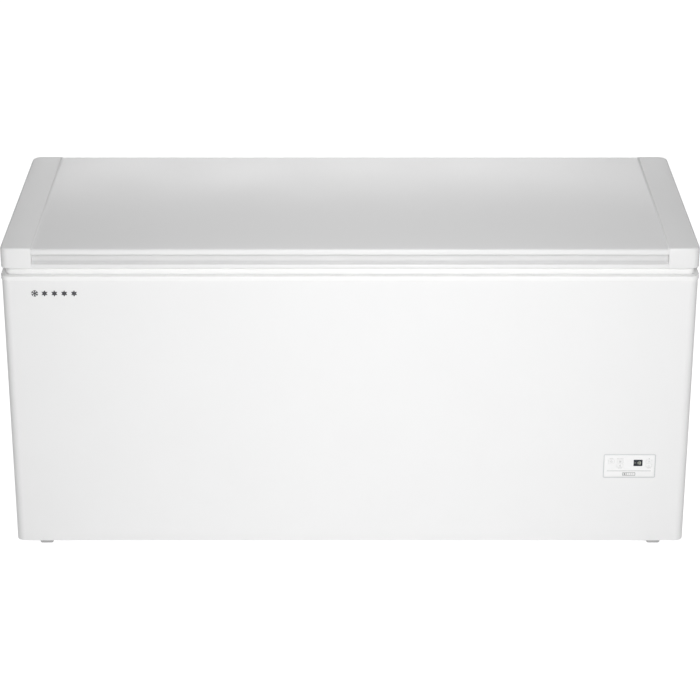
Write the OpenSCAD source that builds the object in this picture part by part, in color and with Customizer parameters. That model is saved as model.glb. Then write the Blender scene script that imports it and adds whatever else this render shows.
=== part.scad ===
// Chest freezer on four castors, with a hinged top lid, hanging baskets and a front control panel.
// Millimetres, +Z up, +X to the right of someone who stands in front, origin on the floor below
// the middle of the bounding box.

/* [Cabinet] */
// Width of the sheet metal cabinet
body_w = 1732; // [1400:10:2100]
// Depth of the sheet metal cabinet
body_d = 700; // [580:10:860]
// Height of the sheet metal cabinet, from its lower edge to the collar
shell_h = 726; // [600:2:900]
// Height of the cabinet's lower edge above the floor
floor_gap = 18.5; // [12:0.5:22]
// Plan radius of the cabinet's four upright edges
corner_r = 22; // [12:1:30]
// Thickness of the painted steel sheet
sheet_t = 1.2; // [0.8:0.1:2]
// Thickness of the insulated walls and floor
wall_t = 72; // [60:1:90]
// Thickness of the inner liner
liner_t = 1.5; // [1:0.1:3]
// Radius of the liner's lower bends
liner_r = 40; // [20:1:60]

/* [Collar] */
// Height of the collar band
collar_h = 13.5; // [10:0.5:20]
// How far the collar stands proud of the cabinet
collar_proud = 2; // [1:0.5:5]
// Width of the ledge that carries the baskets
ledge_w = 12; // [8:1:16]
// Depth of the ledge below the top of the collar
ledge_drop = 26; // [22:1:34]
// Wall thickness of the collar moulding
collar_t = 3; // [2:0.5:4]

/* [Lid] */
// Overall height of the lid
lid_h = 53; // [46:1:70]
// How far the lid stands out behind the cabinet
lid_rear_over = 4; // [0:1:8]
// Width of each moulded end cap
cap_w = 77; // [50:1:100]
// How far the end caps stand above the centre panel
cap_rise = 2.5; // [1:0.5:5]
// How far the end caps reach behind the centre panel
cap_reach = 3.5; // [1:0.5:6]
// Rounding of the end caps' upper edges
cap_round = 6; // [4:1:12]
// Plan radius of the end caps' front corners
cap_front_r = 20; // [14:1:30]
// Plan radius of the end caps' rear corners
cap_rear_r = 25; // [14:1:32]
// Wall thickness of the lid mouldings
cap_t = 3; // [2:0.5:4]
// Height of the lower lip of the front grip
grip_low = 10.5; // [8:0.5:14]
// Height of the grip's opening
grip_open = 24; // [20:0.5:32]
// Depth of the grip groove
grip_depth = 20; // [14:1:26]
// Depth of the front handle moulding
handle_d = 34; // [30:1:44]
// Thickness of the lid's inner panel
inner_t = 2; // [1.5:0.5:3]
// Depth of the lid's plug below the lid's lower face
plug_drop = 30; // [22:1:34]
// Clearance between the plug and the collar's mouth
plug_gap = 22; // [14:1:34]

/* [Gasket] */
// Height of the gap that the gasket fills
gasket_h = 20.5; // [14:0.5:24]
// Width of the magnet pocket, the gasket's widest part
gasket_w = 14; // [10:1:18]
// Distance from the collar's outer face to the gasket
gasket_inset = 12; // [8:1:18]

/* [Machine compartment] */
// Width of the machine compartment
comp_w = 298; // [280:1:330]
// Height of the machine compartment
comp_h = 300; // [270:1:330]
// Insulation between the machine compartment and the liner
comp_wall = 60; // [45:1:75]
// Insulation in front of the machine compartment
comp_front = 60; // [50:1:80]
// Radius of the compressor's shell
compressor_r = 66; // [55:1:72]
// Height of the compressor's shell
compressor_h = 170; // [140:1:200]

/* [Castors] */
// Radius of the castor wheels
wheel_r = 22; // [20:0.5:30]
// Width of the castor wheels
wheel_w = 34; // [24:1:42]
// Radius of the castor axles
axle_r = 4; // [3:0.5:5]
// Distance from the cabinet's side to the middle of a castor
castor_in_x = 75; // [66:1:90]
// Distance from the cabinet's front or rear to the middle of a castor
castor_in_y = 28; // [28:1:45]

/* [Control panel] */
// Width of the control panel
panel_w = 134; // [120:1:150]
// Height of the control panel
panel_h = 67; // [56:1:72]
// Distance from the cabinet's right side to the middle of the panel
panel_in_x = 149; // [120:1:170]
// Height of the middle of the panel above the floor
panel_z = 234; // [160:1:260]
// Width of a key
key_w = 15; // [12:0.5:17]
// Height of a key
key_h = 9.5; // [8:0.5:10.5]
// Width of the display window
display_w = 22.6; // [18:0.2:28]
// Height of the display window
display_h = 17.8; // [14:0.2:22]

/* [Badge] */
// Distance from the cabinet's left side to the middle of the badge
badge_in_x = 131; // [100:1:200]
// Distance from the top of the cabinet sheet to the middle of the badge
badge_drop = 32.5; // [20:0.5:60]
// Overall length of the badge
badge_w = 115; // [90:1:140]
// Height of the badge's largest mark
badge_h = 17; // [10:1:20]

/* [Hinges] */
// Distance from the cabinet's side to the middle of a hinge
hinge_in_x = 265; // [200:5:400]
// Width of a hinge's base
hinge_w = 64; // [50:1:80]
// Distance of the hinge pivot behind the cabinet
pivot_back = 20; // [18:0.5:26]
// Depth of the hinge pivot below the lid's lower face
pivot_drop = 6; // [4:0.5:9]
// Radius of the hinge knuckles
knuckle_r = 10; // [8:0.5:11]
// Radius of the hinge pins
pin_r = 4; // [3:0.5:5]
// Thickness of the hinge plates
hinge_t = 3; // [2:0.5:4]

/* [Baskets] */
// Length of a basket along the freezer
basket_w = 330; // [240:5:380]
// Height of a basket
basket_h = 215; // [140:5:240]
// Thickness of a basket's walls
basket_t = 1.5; // [1:0.25:3]
// Plan radius of a basket's corners
basket_r = 18; // [8:1:30]

/* [Drain] */
// Outer radius of the drain tube
drain_r = 8; // [7:0.5:10]
// Distance from the cabinet's right side to the drain spout
spout_in_x = 120; // [112:1:130]
// Distance from the cabinet's front to the drain spout
spout_in_y = 24; // [20:1:30]
// Distance from the liner's step to the drain hole
drain_in_x = 70; // [60:1:100]

/* [Hidden] */
$fn = 48;
// Clearances: pieces that touch in one body, pieces that move past each other, and shafts
fit_gap = 0.2;
move_gap = 0.5;
shaft_gap = 0.05;
overlap = 1;

hinge_reach = pivot_back + knuckle_r;
front_y = -(collar_proud + body_d + hinge_reach) / 2 + collar_proud;
rear_y = front_y + body_d;
mid_y = (front_y + rear_y) / 2;
half_w = body_w / 2;
shell_z = floor_gap + shell_h;
rim_z = shell_z + collar_h;
lid_z = rim_z + gasket_h;
top_z = lid_z + lid_h;
panel_top = top_z - cap_rise;
ledge_z = rim_z - ledge_drop;

// Storage cavity: the liner's inner faces, with a step over the machine compartment
cav_x = half_w - wall_t;
cav_y0 = front_y + wall_t;
cav_y1 = rear_y - wall_t;
cav_z = floor_gap + wall_t;
liner_top = ledge_z - collar_t;
comp_x1 = half_w - sheet_t;
comp_x0 = comp_x1 - comp_w;
comp_y0 = front_y + comp_front;
comp_top = floor_gap + comp_h;
step_x = comp_x0 - comp_wall;
step_z = comp_top + comp_wall;
step_r = 25;
flange_w = ledge_w - fit_gap;
mouth_x = cav_x + ledge_w;
mouth_y0 = cav_y0 - ledge_w;
mouth_y1 = cav_y1 + ledge_w;

// Lid: its front lies over the cabinet's front, its rear stands out behind
lid_y0 = front_y;
lid_y1 = rear_y + lid_rear_over;
cap_x = half_w - cap_w;
handle_y1 = lid_y0 + handle_d;
rail_d = 20;
rail_y1 = lid_y1 - cap_reach;
rail_y0 = rail_y1 - rail_d;
plug_x = mouth_x - plug_gap;
plug_y0 = mouth_y0 + plug_gap;
plug_y1 = mouth_y1 - plug_gap;
plug_z = lid_z - plug_drop;
pivot_y = rear_y + pivot_back;
pivot_z = lid_z - pivot_drop;
hinge_x = half_w - hinge_in_x;

// Coils in the foam
tube_r = 3;
channel_w = 8;
coil_turns = 5;
coil_z0 = liner_top - 40;
coil_z1 = step_z + 30;
coil_pitch = (coil_z0 - coil_z1) / (coil_turns - 1);
coil_x0 = 40;
coil_step = 30;
coil_bend = 7;
shell_bend = 20;
channel_r = 30;

// Machine compartment
pan_t = 1.5;
pan_z = floor_gap + pan_t;
compressor_x = comp_x0 + 107;
compressor_y = rear_y - 130;
rail_z = pan_z + 12;
rail_t = 2.5;
rail_half_x = 76;
rail_half_y = 84;
foot_x = 62;
foot_y = 70;
shell_base_z = rail_z + rail_t + 5;
cover_margin = 14;
cover_x0 = comp_x0 + cover_margin;
cover_x1 = comp_x1 - cover_margin - corner_r / 2;
cover_z0 = pan_z + cover_margin;
cover_z1 = comp_top - cover_margin;
gland_x = cover_x1 - 40;
gland_z = cover_z0 + 34;
gland_bore_r = 4.2;
gland_r = 9;
grille_y0 = mid_y - 40;
grille_w = 210;
grille_z0 = floor_gap + 70;
grille_h = 150;

// Castors
castor_x = half_w - castor_in_x;
castor_ys = [front_y + castor_in_y, rear_y - castor_in_y];
cheek_t = 2;
cheek_gap = 1;
cheek_x = wheel_w / 2 + cheek_gap;
bracket_top = 2 * wheel_r + 6;
bracket_half_y = wheel_r + 1.5;
bracket_low = wheel_r - axle_r - 5;
shoulder_r = 5;
pocket_gap = 1;

// Control panel
panel_x = half_w - panel_in_x;
bezel_w = 1.5;
bezel_d = 9;
bezel_r = 4;
fascia_t = 2.4;
fascia_in = 0.4;
key_rows = [12.5, 1];
key_cols = [-46.5, -24, 50];
display_dx = 21.9;
display_dz = 8.6;

// Badge
badge_x = -half_w + badge_in_x;
badge_z = shell_z - badge_drop;
badge_t = 0.8;

// Baskets hang on the ledge by their upper frame and slide along it
rim_w = 6;
basket_rim_z = ledge_z + move_gap;
basket_gap = 10;
hook_w = 40;
basket_y0 = mouth_y0 + 3;
basket_y1 = mouth_y1 - 3;
basket_x = mouth_x - basket_w / 2 - 40;

// Drain
drain_hole_x = step_x - drain_in_x;
drain_hole_y = cav_y0 + 50;
drain_wall = 2;
drain_run_z = cav_z - 42;
spout_x = half_w - spout_in_x;
spout_y = front_y + spout_in_y;
spout_z = floor_gap - 8;
spout_r = drain_r - 3;
drain_bend = 18;
spout_top = drain_run_z - drain_bend - 1;

// ---------- outlines and small shapes ----------

function arc(cx, cy, r, a0, a1, n = 8) =
    [for (i = [0:n]) let (a = a0 + (a1 - a0) * i / n) [cx + r * cos(a), cy + r * sin(a)]];

function rounded(x0, y0, x1, y1, r, n = 8) = concat(
    arc(x1 - r, y1 - r, r, 0, 90, n), arc(x0 + r, y1 - r, r, 90, 180, n),
    arc(x0 + r, y0 + r, r, 180, 270, n), arc(x1 - r, y0 + r, r, 270, 360, n));

// Side profile of the storage cavity in X and Z, grown outwards by g, open at height top
function cavity(g, top) = concat(
    [[-cav_x - g, top]],
    arc(-cav_x + liner_r, cav_z + liner_r, liner_r + g, 180, 270),
    arc(step_x - liner_r, cav_z + liner_r, liner_r + g, 270, 360),
    arc(step_x + step_r, step_z - step_r, step_r - g, 180, 90),
    arc(cav_x - step_r, step_z + step_r, step_r + g, 270, 360),
    [[cav_x + g, top]]);

// Plan outline of the right end cap, drawn in by s at its outer edges and by c at its inner edge
function cap_outline(s, c) = concat(
    [[cap_x + c, lid_y0 + s]],
    arc(half_w - cap_front_r, lid_y0 + cap_front_r, cap_front_r - s, 270, 360),
    arc(half_w - cap_rear_r, lid_y1 - cap_rear_r, cap_rear_r - s, 0, 90),
    [[cap_x + c, lid_y1 - s]]);

// Section of the front handle in depth and height above the lid's lower face
grip_top = grip_low + grip_open;
lip_top = panel_top - lid_z;
lip_round = cap_round;
handle_outline = concat(
    [[0, 1], [0, grip_low - 2], [1.5, grip_low], [grip_depth - 6, grip_low + 2]],
    [[grip_depth - 2, grip_low + 4.5], [grip_depth, grip_low + 9], [grip_depth, grip_top + 1]],
    [[grip_depth - 2, grip_top + 2.5], [2, grip_top + 0.6], [0, grip_top + 2.5]],
    arc(lip_round, lip_top - lip_round, lip_round, 180, 90),
    [[lip_round, lip_top - sheet_t - fit_gap], [handle_d, lip_top - sheet_t - fit_gap]],
    [[handle_d, 0], [1, 0]]);
handle_chamber = [[cap_t, cap_t], [cap_t, grip_low - 4], [grip_depth - 4, grip_low - 1.5],
    [grip_depth + cap_t, grip_low + 6], [grip_depth + cap_t, lip_top - sheet_t - 4],
    [handle_d - cap_t, lip_top - sheet_t - 4], [handle_d - cap_t, cap_t]];

module box(x0, y0, z0, x1, y1, z1) {
    translate([x0, y0, z0]) cube([x1 - x0, y1 - y0, z1 - z0]);
}

// A plate or block with a rounded plan, from z0 up to z1
module slab(x0, y0, x1, y1, r, z0, z1) {
    translate([0, 0, z0]) linear_extrude(z1 - z0) polygon(rounded(x0, y0, x1, y1, r));
}

// A profile drawn in X and Z, pushed along Y from y0 to y1
module along_y(y0, y1) {
    translate([0, y1, 0]) rotate([90, 0, 0]) linear_extrude(y1 - y0) children();
}

// A profile drawn in Y and Z, pushed along X from x0 to x1
module along_x(x0, x1) {
    translate([x0, 0, 0]) rotate([90, 0, 90]) linear_extrude(x1 - x0) children();
}

// A frame with a rounded plan: its outer edge, its width inwards and its height
module ring(x0, y0, x1, y1, r, w, z0, z1) {
    difference() {
        slab(x0, y0, x1, y1, r, z0, z1);
        slab(x0 + w, y0 + w, x1 - w, y1 - w, max(r - w, 1), z0 - overlap, z1 + overlap);
    }
}

module rod_x(x0, x1, y, z, r) {
    translate([x0, y, z]) rotate([0, 90, 0]) cylinder(r = r, h = x1 - x0);
}

module rod_y(x, y0, y1, z, r) {
    translate([x, y0, z]) rotate([-90, 0, 0]) cylinder(r = r, h = y1 - y0);
}

module rod_z(x, y, z0, z1, r) {
    translate([x, y, z0]) cylinder(r = r, h = z1 - z0);
}

// ---------- bent tubes ----------

function unit(v) = v / norm(v);

// The points of a bent route: each inner corner becomes a curve that starts b before it
function bent(route, b, n = 4) = [
    for (i = [0:len(route) - 1])
        if (i == 0 || i == len(route) - 1) route[i]
        else
            let (p = route[i], u = unit(route[i - 1] - p), v = unit(route[i + 1] - p))
            for (k = [0:n])
                let (t = k / n) p + u * b * pow(1 - t, 2) + v * b * pow(t, 2)];

// A tube of radius r swept along points, with flat ends
module tube(points, r, sides = 8) {
    last = len(points) - 1;
    lean = unit([1, 2, 3]);
    rings = [for (i = [0:last])
        let (d = unit(points[min(i + 1, last)] - points[max(i - 1, 0)]),
             n = unit(cross(d, lean)), m = cross(d, n))
        for (k = [0:sides - 1])
            points[i] + n * r * cos(360 * k / sides) + m * r * sin(360 * k / sides)];
    walls = [for (i = [0:last - 1], k = [0:sides - 1])
        let (a = i * sides + k, b = i * sides + (k + 1) % sides)
        each [[a, b, b + sides], [a, b + sides, a + sides]]];
    caps = [[for (k = [sides - 1:-1:0]) k], [for (k = [0:sides - 1]) last * sides + k]];
    polyhedron(rings, concat(walls, caps));
}

// ---------- cabinet ----------

module outer_shell() {
    color("white") difference() {
        ring(-half_w, front_y, half_w, rear_y, corner_r, sheet_t, floor_gap, shell_z);
        box(-half_w + corner_r, rear_y - 2 * sheet_t, floor_gap - overlap,
            half_w - corner_r, rear_y + overlap, shell_z - 20);
        box(panel_x - panel_w / 2 + bezel_w, front_y - overlap, panel_z - panel_h / 2 + bezel_w,
            panel_x + panel_w / 2 - bezel_w, front_y + 2 * sheet_t, panel_z + panel_h / 2 - bezel_w);
        box(half_w - 2 * sheet_t, grille_y0 + 6, grille_z0 + 6,
            half_w + overlap, grille_y0 + grille_w - 6, grille_z0 + grille_h - 6);
    }
}

module rear_panel() {
    color("gainsboro") difference() {
        box(-half_w + corner_r + fit_gap, rear_y - sheet_t, floor_gap,
            half_w - corner_r - fit_gap, rear_y, shell_z - 20 - fit_gap);
        box(cover_x0 + 6, rear_y - 2 * sheet_t, cover_z0 + 6,
            cover_x1 - 6, rear_y + overlap, cover_z1 - 6);
    }
}

module wheel_pockets(z0, z1, gap) {
    for (s = [-1, 1], y = castor_ys)
        box(s * castor_x - cheek_x - cheek_t - gap, y - bracket_half_y - gap, z0,
            s * castor_x + cheek_x + cheek_t + gap, y + bracket_half_y + gap, z1);
}

module base_pan() {
    color("silver") difference() {
        slab(-half_w + sheet_t + fit_gap, front_y + sheet_t + fit_gap, half_w - sheet_t - fit_gap,
            rear_y - sheet_t - fit_gap, corner_r - sheet_t, floor_gap, pan_z);
        wheel_pockets(floor_gap - overlap, pan_z + overlap, pocket_gap);
        rod_z(spout_x, spout_y, floor_gap - overlap, pan_z + overlap, drain_r + 0.5);
        for (i = [0:6])
            box(compressor_x - 60, compressor_y - 66 + i * 20, floor_gap - overlap,
                compressor_x + 60, compressor_y - 56 + i * 20, pan_z + overlap);
    }
}

// Straight channels round the cavity or round the foam at height z
module coil_channel(z, inner) {
    reach = liner_t + fit_gap + channel_w;
    half = channel_w / 2;
    if (inner) {
        box(-cav_x - reach, cav_y0 - reach, z - half, cav_x + reach, cav_y1 + reach, z + half);
    } else {
        edge = sheet_t + fit_gap + channel_w;
        difference() {
            box(-half_w, front_y, z - half, half_w, rear_y, z + half);
            slab(-half_w + edge, front_y + edge, half_w - edge, rear_y - edge, channel_r,
                z - half - overlap, z + half + overlap);
        }
    }
}

module foam_body() {
    skin = sheet_t + fit_gap;
    reach = liner_t + fit_gap;
    fall_x0 = -cav_x + coil_x0;
    color("khaki") difference() {
        slab(-half_w + skin, front_y + skin, half_w - skin, rear_y - skin, corner_r - skin,
            pan_z + fit_gap, shell_z - fit_gap);
        along_y(cav_y0 - reach, cav_y1 + reach) polygon(cavity(reach, shell_z + overlap));
        box(-mouth_x - reach, mouth_y0 - reach - collar_t, liner_top - liner_t - fit_gap,
            mouth_x + reach, mouth_y1 + reach + collar_t, shell_z + overlap);
        box(-mouth_x - reach - collar_t, mouth_y0 - reach - collar_t, liner_top - liner_t - fit_gap,
            mouth_x + reach + collar_t, mouth_y1 + reach + collar_t, shell_z + overlap);
        box(comp_x0, comp_y0, floor_gap, half_w, rear_y, comp_top);
        box(panel_x - panel_w / 2 - 6, front_y, panel_z - panel_h / 2 - 6,
            panel_x + panel_w / 2 + 6, comp_y0 + overlap, panel_z + panel_h / 2 + 6);
        wheel_pockets(floor_gap, bracket_top + fit_gap, fit_gap);
        for (i = [0:coil_turns - 1]) coil_channel(coil_z0 - i * coil_pitch, true);
        for (i = [0:coil_turns - 1]) coil_channel(coil_z0 - i * coil_pitch, false);
        box(fall_x0 - 10, cav_y1, coil_z1 - channel_w / 2, fall_x0 + (coil_turns + 1) * coil_step,
            cav_y1 + reach + channel_w, coil_z0 + channel_w / 2);
        box(fall_x0 - 10, rear_y - skin - channel_w, coil_z1 - channel_w / 2,
            fall_x0 + (coil_turns + 1) * coil_step, rear_y, coil_z0 + channel_w / 2);
        rod_z(drain_hole_x, drain_hole_y, drain_run_z - drain_r - 4, cav_z, drain_r + 4);
        box(drain_hole_x - drain_r - 4, drain_hole_y - drain_r - 4, drain_run_z - drain_r - 4,
            comp_x0 + overlap, drain_hole_y + drain_r + 4, drain_run_z + drain_r + 4);
        box(spout_x - drain_r - 4, front_y, floor_gap, spout_x + drain_r + 4,
            comp_y0 + overlap, drain_run_z + drain_r + 4);
    }
}

module inner_liner() {
    color("whitesmoke") difference() {
        union() {
            along_y(cav_y0 - liner_t, cav_y1 + liner_t) polygon(cavity(liner_t, liner_top));
            box(-cav_x - flange_w, cav_y0 - flange_w, liner_top - liner_t,
                cav_x + flange_w, cav_y1 + flange_w, liner_top);
        }
        along_y(cav_y0, cav_y1) polygon(cavity(0, liner_top + overlap));
        rod_z(drain_hole_x, drain_hole_y, cav_z - 2 * liner_t, cav_z + overlap, drain_r + 0.5);
    }
}

module top_collar() {
    out = collar_proud;
    color("white") difference() {
        union() {
            slab(-half_w - out, front_y - out, half_w + out, rear_y + out, corner_r + out,
                shell_z, rim_z);
            box(-mouth_x - collar_t, mouth_y0 - collar_t, liner_top,
                mouth_x + collar_t, mouth_y1 + collar_t, shell_z + overlap);
        }
        box(-mouth_x, mouth_y0, ledge_z, mouth_x, mouth_y1, rim_z + overlap);
        box(-cav_x, cav_y0, liner_top - overlap, cav_x, cav_y1, ledge_z + overlap);
    }
}

// The route of one coil: level after level round a rectangle, each a little further along
function coil_route(x, y0, y1) = [for (i = [0:coil_turns - 1])
    let (z = coil_z0 - i * coil_pitch, s = -cav_x + coil_x0 + i * coil_step)
    each [[s, y1, z], [-x, y1, z], [-x, y0, z], [x, y0, z], [x, y1, z], [s + coil_step, y1, z]]];

module evaporator_coil() {
    off = liner_t + fit_gap + channel_w / 2;
    color("peru")
        tube(bent(coil_route(cav_x + off, cav_y0 - off, cav_y1 + off), coil_bend), tube_r);
}

module condenser_coil() {
    off = sheet_t + fit_gap + channel_w / 2;
    color("dimgray")
        tube(bent(coil_route(half_w - off, front_y + off, rear_y - off), shell_bend), tube_r);
}

// ---------- machine compartment ----------

module compressor() {
    r = compressor_r;
    h = compressor_h;
    z = shell_base_z;
    color("black") union() {
        translate([compressor_x, compressor_y, z]) rotate_extrude() polygon(concat(
            [[0, 0], [r * 0.55, 0]], arc(r - 22, 24, 22, 290, 360, 6),
            [[r, h * 0.5], [r + 4, h * 0.5], [r + 4, h * 0.5 + 6], [r, h * 0.5 + 6]],
            arc(r - 45, h - 46, 45, 0, 70, 6), [[0, h]]));
        for (s = [-1, 1])
            box(compressor_x - foot_x - 8, compressor_y + s * foot_y - 9, rail_z + rail_t + 1.5,
                compressor_x + foot_x + 8, compressor_y + s * foot_y + 9, rail_z + rail_t + 4);
        for (s = [-1, 1])
            box(compressor_x - 20, compressor_y + min(0, s * foot_y), rail_z + rail_t + 1.5,
                compressor_x + 20, compressor_y + max(0, s * foot_y), rail_z + rail_t + 4);
        rod_z(compressor_x, compressor_y, rail_z + rail_t + 1.5, z + 6, r * 0.5);
        rod_x(compressor_x - r - 14, compressor_x, compressor_y - 20, z + h * 0.42, 4);
        rod_x(compressor_x - r - 14, compressor_x, compressor_y + 24, z + h * 0.36, 5);
    }
}

module terminal_cover() {
    y1 = compressor_y - compressor_r - 6;
    color("dimgray") difference() {
        box(compressor_x - 26, y1 - 34, shell_base_z + 40, compressor_x + 26, y1, shell_base_z + 104);
        box(compressor_x - 23, y1 - 31, shell_base_z + 43,
            compressor_x + 23, y1 + overlap, shell_base_z + 101);
    }
}

module mount_points() {
    for (sx = [-1, 1], sy = [-1, 1])
        translate([compressor_x + sx * foot_x, compressor_y + sy * foot_y, 0]) children();
}

module mounting_rail() {
    color("silver") difference() {
        box(compressor_x - rail_half_x, compressor_y - rail_half_y, rail_z,
            compressor_x + rail_half_x, compressor_y + rail_half_y, rail_z + rail_t);
        mount_points() rod_z(0, 0, rail_z - overlap, rail_z + rail_t + overlap, 3.3);
    }
}

module rubber_grommets() {
    color("black") mount_points() difference() {
        rod_z(0, 0, pan_z, rail_z - fit_gap, 11);
        rod_z(0, 0, pan_z - overlap, rail_z + overlap, 3.3);
    }
}

module mount_bolts() {
    head = rail_z + rail_t + 4 + fit_gap;
    color("lightgray") for (sx = [-1, 1], sy = [-1, 1])
        translate([compressor_x + sx * (foot_x + 3), compressor_y + sy * foot_y, 0]) {
            translate([0, 0, head]) cylinder(r = 6.5, h = 4.5, $fn = 6);
        }
}

module discharge_line() {
    x = compressor_x - compressor_r - 14;
    y = compressor_y + 24;
    z = shell_base_z + compressor_h * 0.36;
    color("peru") tube(bent([[x - fit_gap, y, z], [comp_x0 + 10, y, z], [comp_x0 + 10, rear_y - 24, z],
        [comp_x0 + 10, rear_y - 24, comp_top - 30], [comp_x0 + 120, rear_y - 24, comp_top - 30]], 9), 3);
}

module suction_line() {
    x = compressor_x - compressor_r - 14;
    y = compressor_y - 20;
    z = shell_base_z + compressor_h * 0.42;
    color("peru") tube(bent([[x - fit_gap, y, z], [comp_x0 + 9, y, z], [comp_x0 + 9, comp_y0 + 60, z],
        [comp_x0 + 9, comp_y0 + 60, comp_top - 20], [comp_x0 + 150, comp_y0 + 60, comp_top - 20]], 8), 4);
}

module filter_drier() {
    color("peru") translate([comp_x0 + 150, rear_y - 60, comp_top - 70]) rotate([0, 90, 0])
        rotate_extrude() polygon([[0, 0], [3, 0], [3, 12], [9, 22], [9, 92], [3, 102], [3, 112], [0, 112]]);
}

module control_box() {
    y0 = front_y + bezel_d + 6;
    color("dimgray") difference() {
        box(panel_x - panel_w / 2 + 4, y0, panel_z - panel_h / 2 + 4,
            panel_x + panel_w / 2 - 4, y0 + 30, panel_z + panel_h / 2 - 4);
        box(panel_x - panel_w / 2 + 6, y0 - overlap, panel_z - panel_h / 2 + 6,
            panel_x + panel_w / 2 - 6, y0 + 28, panel_z + panel_h / 2 - 6);
    }
}

module rear_cover() {
    slots = 9;
    pitch = (cover_z1 - cover_z0 - 90) / slots;
    color("gray") difference() {
        box(cover_x0, rear_y, cover_z0, cover_x1, rear_y + 2, cover_z1);
        for (i = [0:slots - 1], c = [0:2])
            box(cover_x0 + 16 + c * 78, rear_y - overlap, cover_z0 + 74 + i * pitch,
                cover_x0 + 78 + c * 78, rear_y + 2 + overlap, cover_z0 + 74 + i * pitch + pitch * 0.45);
        rod_y(gland_x, rear_y - overlap, rear_y + 2 + overlap, gland_z, gland_r + fit_gap);
    }
}

module cord_gland() {
    color("black") difference() {
        union() {
            rod_y(gland_x, rear_y - 8, rear_y + 12, gland_z, gland_r);
            rod_y(gland_x, rear_y + 2 + fit_gap, rear_y + 5, gland_z, gland_r + 4);
        }
        rod_y(gland_x, rear_y - 8 - overlap, rear_y + 12 + overlap, gland_z, gland_bore_r);
    }
}

module side_grille() {
    bars = 11;
    pitch = (grille_h - 24) / bars;
    lip = 6 + fit_gap;
    color("lightgray") difference() {
        union() {
            box(half_w, grille_y0, grille_z0, half_w + 2, grille_y0 + grille_w, grille_z0 + grille_h);
            box(half_w - 6, grille_y0 + lip, grille_z0 + lip,
                half_w + overlap, grille_y0 + grille_w - lip, grille_z0 + grille_h - lip);
        }
        box(half_w - 6 - overlap, grille_y0 + lip + 2, grille_z0 + lip + 2,
            half_w, grille_y0 + grille_w - lip - 2, grille_z0 + grille_h - lip - 2);
        for (i = [0:bars - 1])
            box(half_w - overlap, grille_y0 + 14, grille_z0 + 12 + (i + 0.25) * pitch,
                half_w + 2 + overlap, grille_y0 + grille_w - 14, grille_z0 + 12 + (i + 0.7) * pitch);
    }
}

// ---------- control panel ----------

module panel_bezel() {
    x0 = panel_x - panel_w / 2;
    z0 = panel_z - panel_h / 2;
    color("silver") difference() {
        union() {
            along_y(front_y - 0.6, front_y)
                polygon(rounded(x0, z0, x0 + panel_w, z0 + panel_h, bezel_r, 5));
            along_y(front_y - fit_gap, front_y + bezel_d)
                polygon(rounded(x0 + bezel_w + fit_gap, z0 + bezel_w + fit_gap,
                    x0 + panel_w - bezel_w - fit_gap, z0 + panel_h - bezel_w - fit_gap, 3, 5));
        }
        along_y(front_y - overlap, front_y + bezel_d + overlap)
            polygon(rounded(x0 + 2.2, z0 + 2.2, x0 + panel_w - 2.2, z0 + panel_h - 2.2, 2, 5));
    }
}

function key_place(col, row) = [panel_x + key_cols[col], panel_z + key_rows[row]];

key_places = [key_place(0, 0), key_place(1, 0), key_place(1, 1), key_place(2, 0), key_place(2, 1)];

module key_hole(p, grow, y0, y1) {
    along_y(y0, y1) polygon(rounded(p[0] - key_w / 2 - grow, p[1] - key_h / 2 - grow,
        p[0] + key_w / 2 + grow, p[1] + key_h / 2 + grow, 2, 5));
}

module display_hole(grow, y0, y1) {
    x = panel_x + display_dx;
    z = panel_z + display_dz;
    along_y(y0, y1) polygon(rounded(x - display_w / 2 - grow, z - display_h / 2 - grow,
        x + display_w / 2 + grow, z + display_h / 2 + grow, 1, 4));
}

module panel_fascia() {
    inset = 2.2 + fit_gap;
    y0 = front_y + fascia_in;
    color("white") difference() {
        along_y(y0, y0 + fascia_t) polygon(rounded(panel_x - panel_w / 2 + inset,
            panel_z - panel_h / 2 + inset, panel_x + panel_w / 2 - inset,
            panel_z + panel_h / 2 - inset, 1.8, 5));
        for (p = key_places) key_hole(p, 0.3, y0 - overlap, y0 + fascia_t + overlap);
        display_hole(fit_gap, y0 - overlap, y0 + fascia_t + overlap);
    }
}

module display_window() {
    color("black") display_hole(0, front_y + fascia_in, front_y + fascia_in + fascia_t);
}

module key(i) {
    color("white") key_hole(key_places[i], 0, front_y + fascia_in - 0.1, front_y + fascia_in + fascia_t);
}

// Cold mark and four stars, standing on the sheet
module badge() {
    r = badge_h / 2;
    pitch = (badge_w - badge_h) / 4;
    color("dimgray") along_y(front_y - badge_t, front_y) {
        translate([badge_x - 2 * pitch, badge_z]) union() {
            for (a = [30, 90, 150]) rotate(a) square([2 * r, 2.4], center = true);
            for (a = [30:60:330]) rotate(a) translate([r * 0.62, 0]) {
                rotate(50) translate([1.8, 0]) square([4.4, 1.4], center = true);
                rotate(-50) translate([1.8, 0]) square([4.4, 1.4], center = true);
            }
        }
        for (i = [-1:2])
            translate([badge_x + i * pitch, badge_z])
                polygon([for (k = [0:11]) let (q = k % 2 == 0 ? r : r * 0.56)
                    [q * sin(30 * k), q * cos(30 * k)]]);
    }
}

// ---------- castors ----------

module castor_brackets() {
    out = cheek_x + cheek_t;
    step_y = axle_r + 6;
    color("silver") for (s = [-1, 1], y = castor_ys) let (x = s * castor_x) difference() {
        box(x - out, y - bracket_half_y, bracket_low, x + out, y + bracket_half_y, bracket_top);
        box(x - cheek_x, y - bracket_half_y - overlap, bracket_low - overlap,
            x + cheek_x, y + bracket_half_y + overlap, bracket_top - cheek_t);
        for (y0 = [y - bracket_half_y - overlap, y + step_y])
            box(x - out - overlap, y0, bracket_low - overlap,
                x + out + overlap, y0 + bracket_half_y - step_y + overlap, floor_gap + 0.5);
        rod_x(x - out - overlap, x + out + overlap, y, wheel_r, axle_r + shaft_gap);
    }
}

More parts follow.
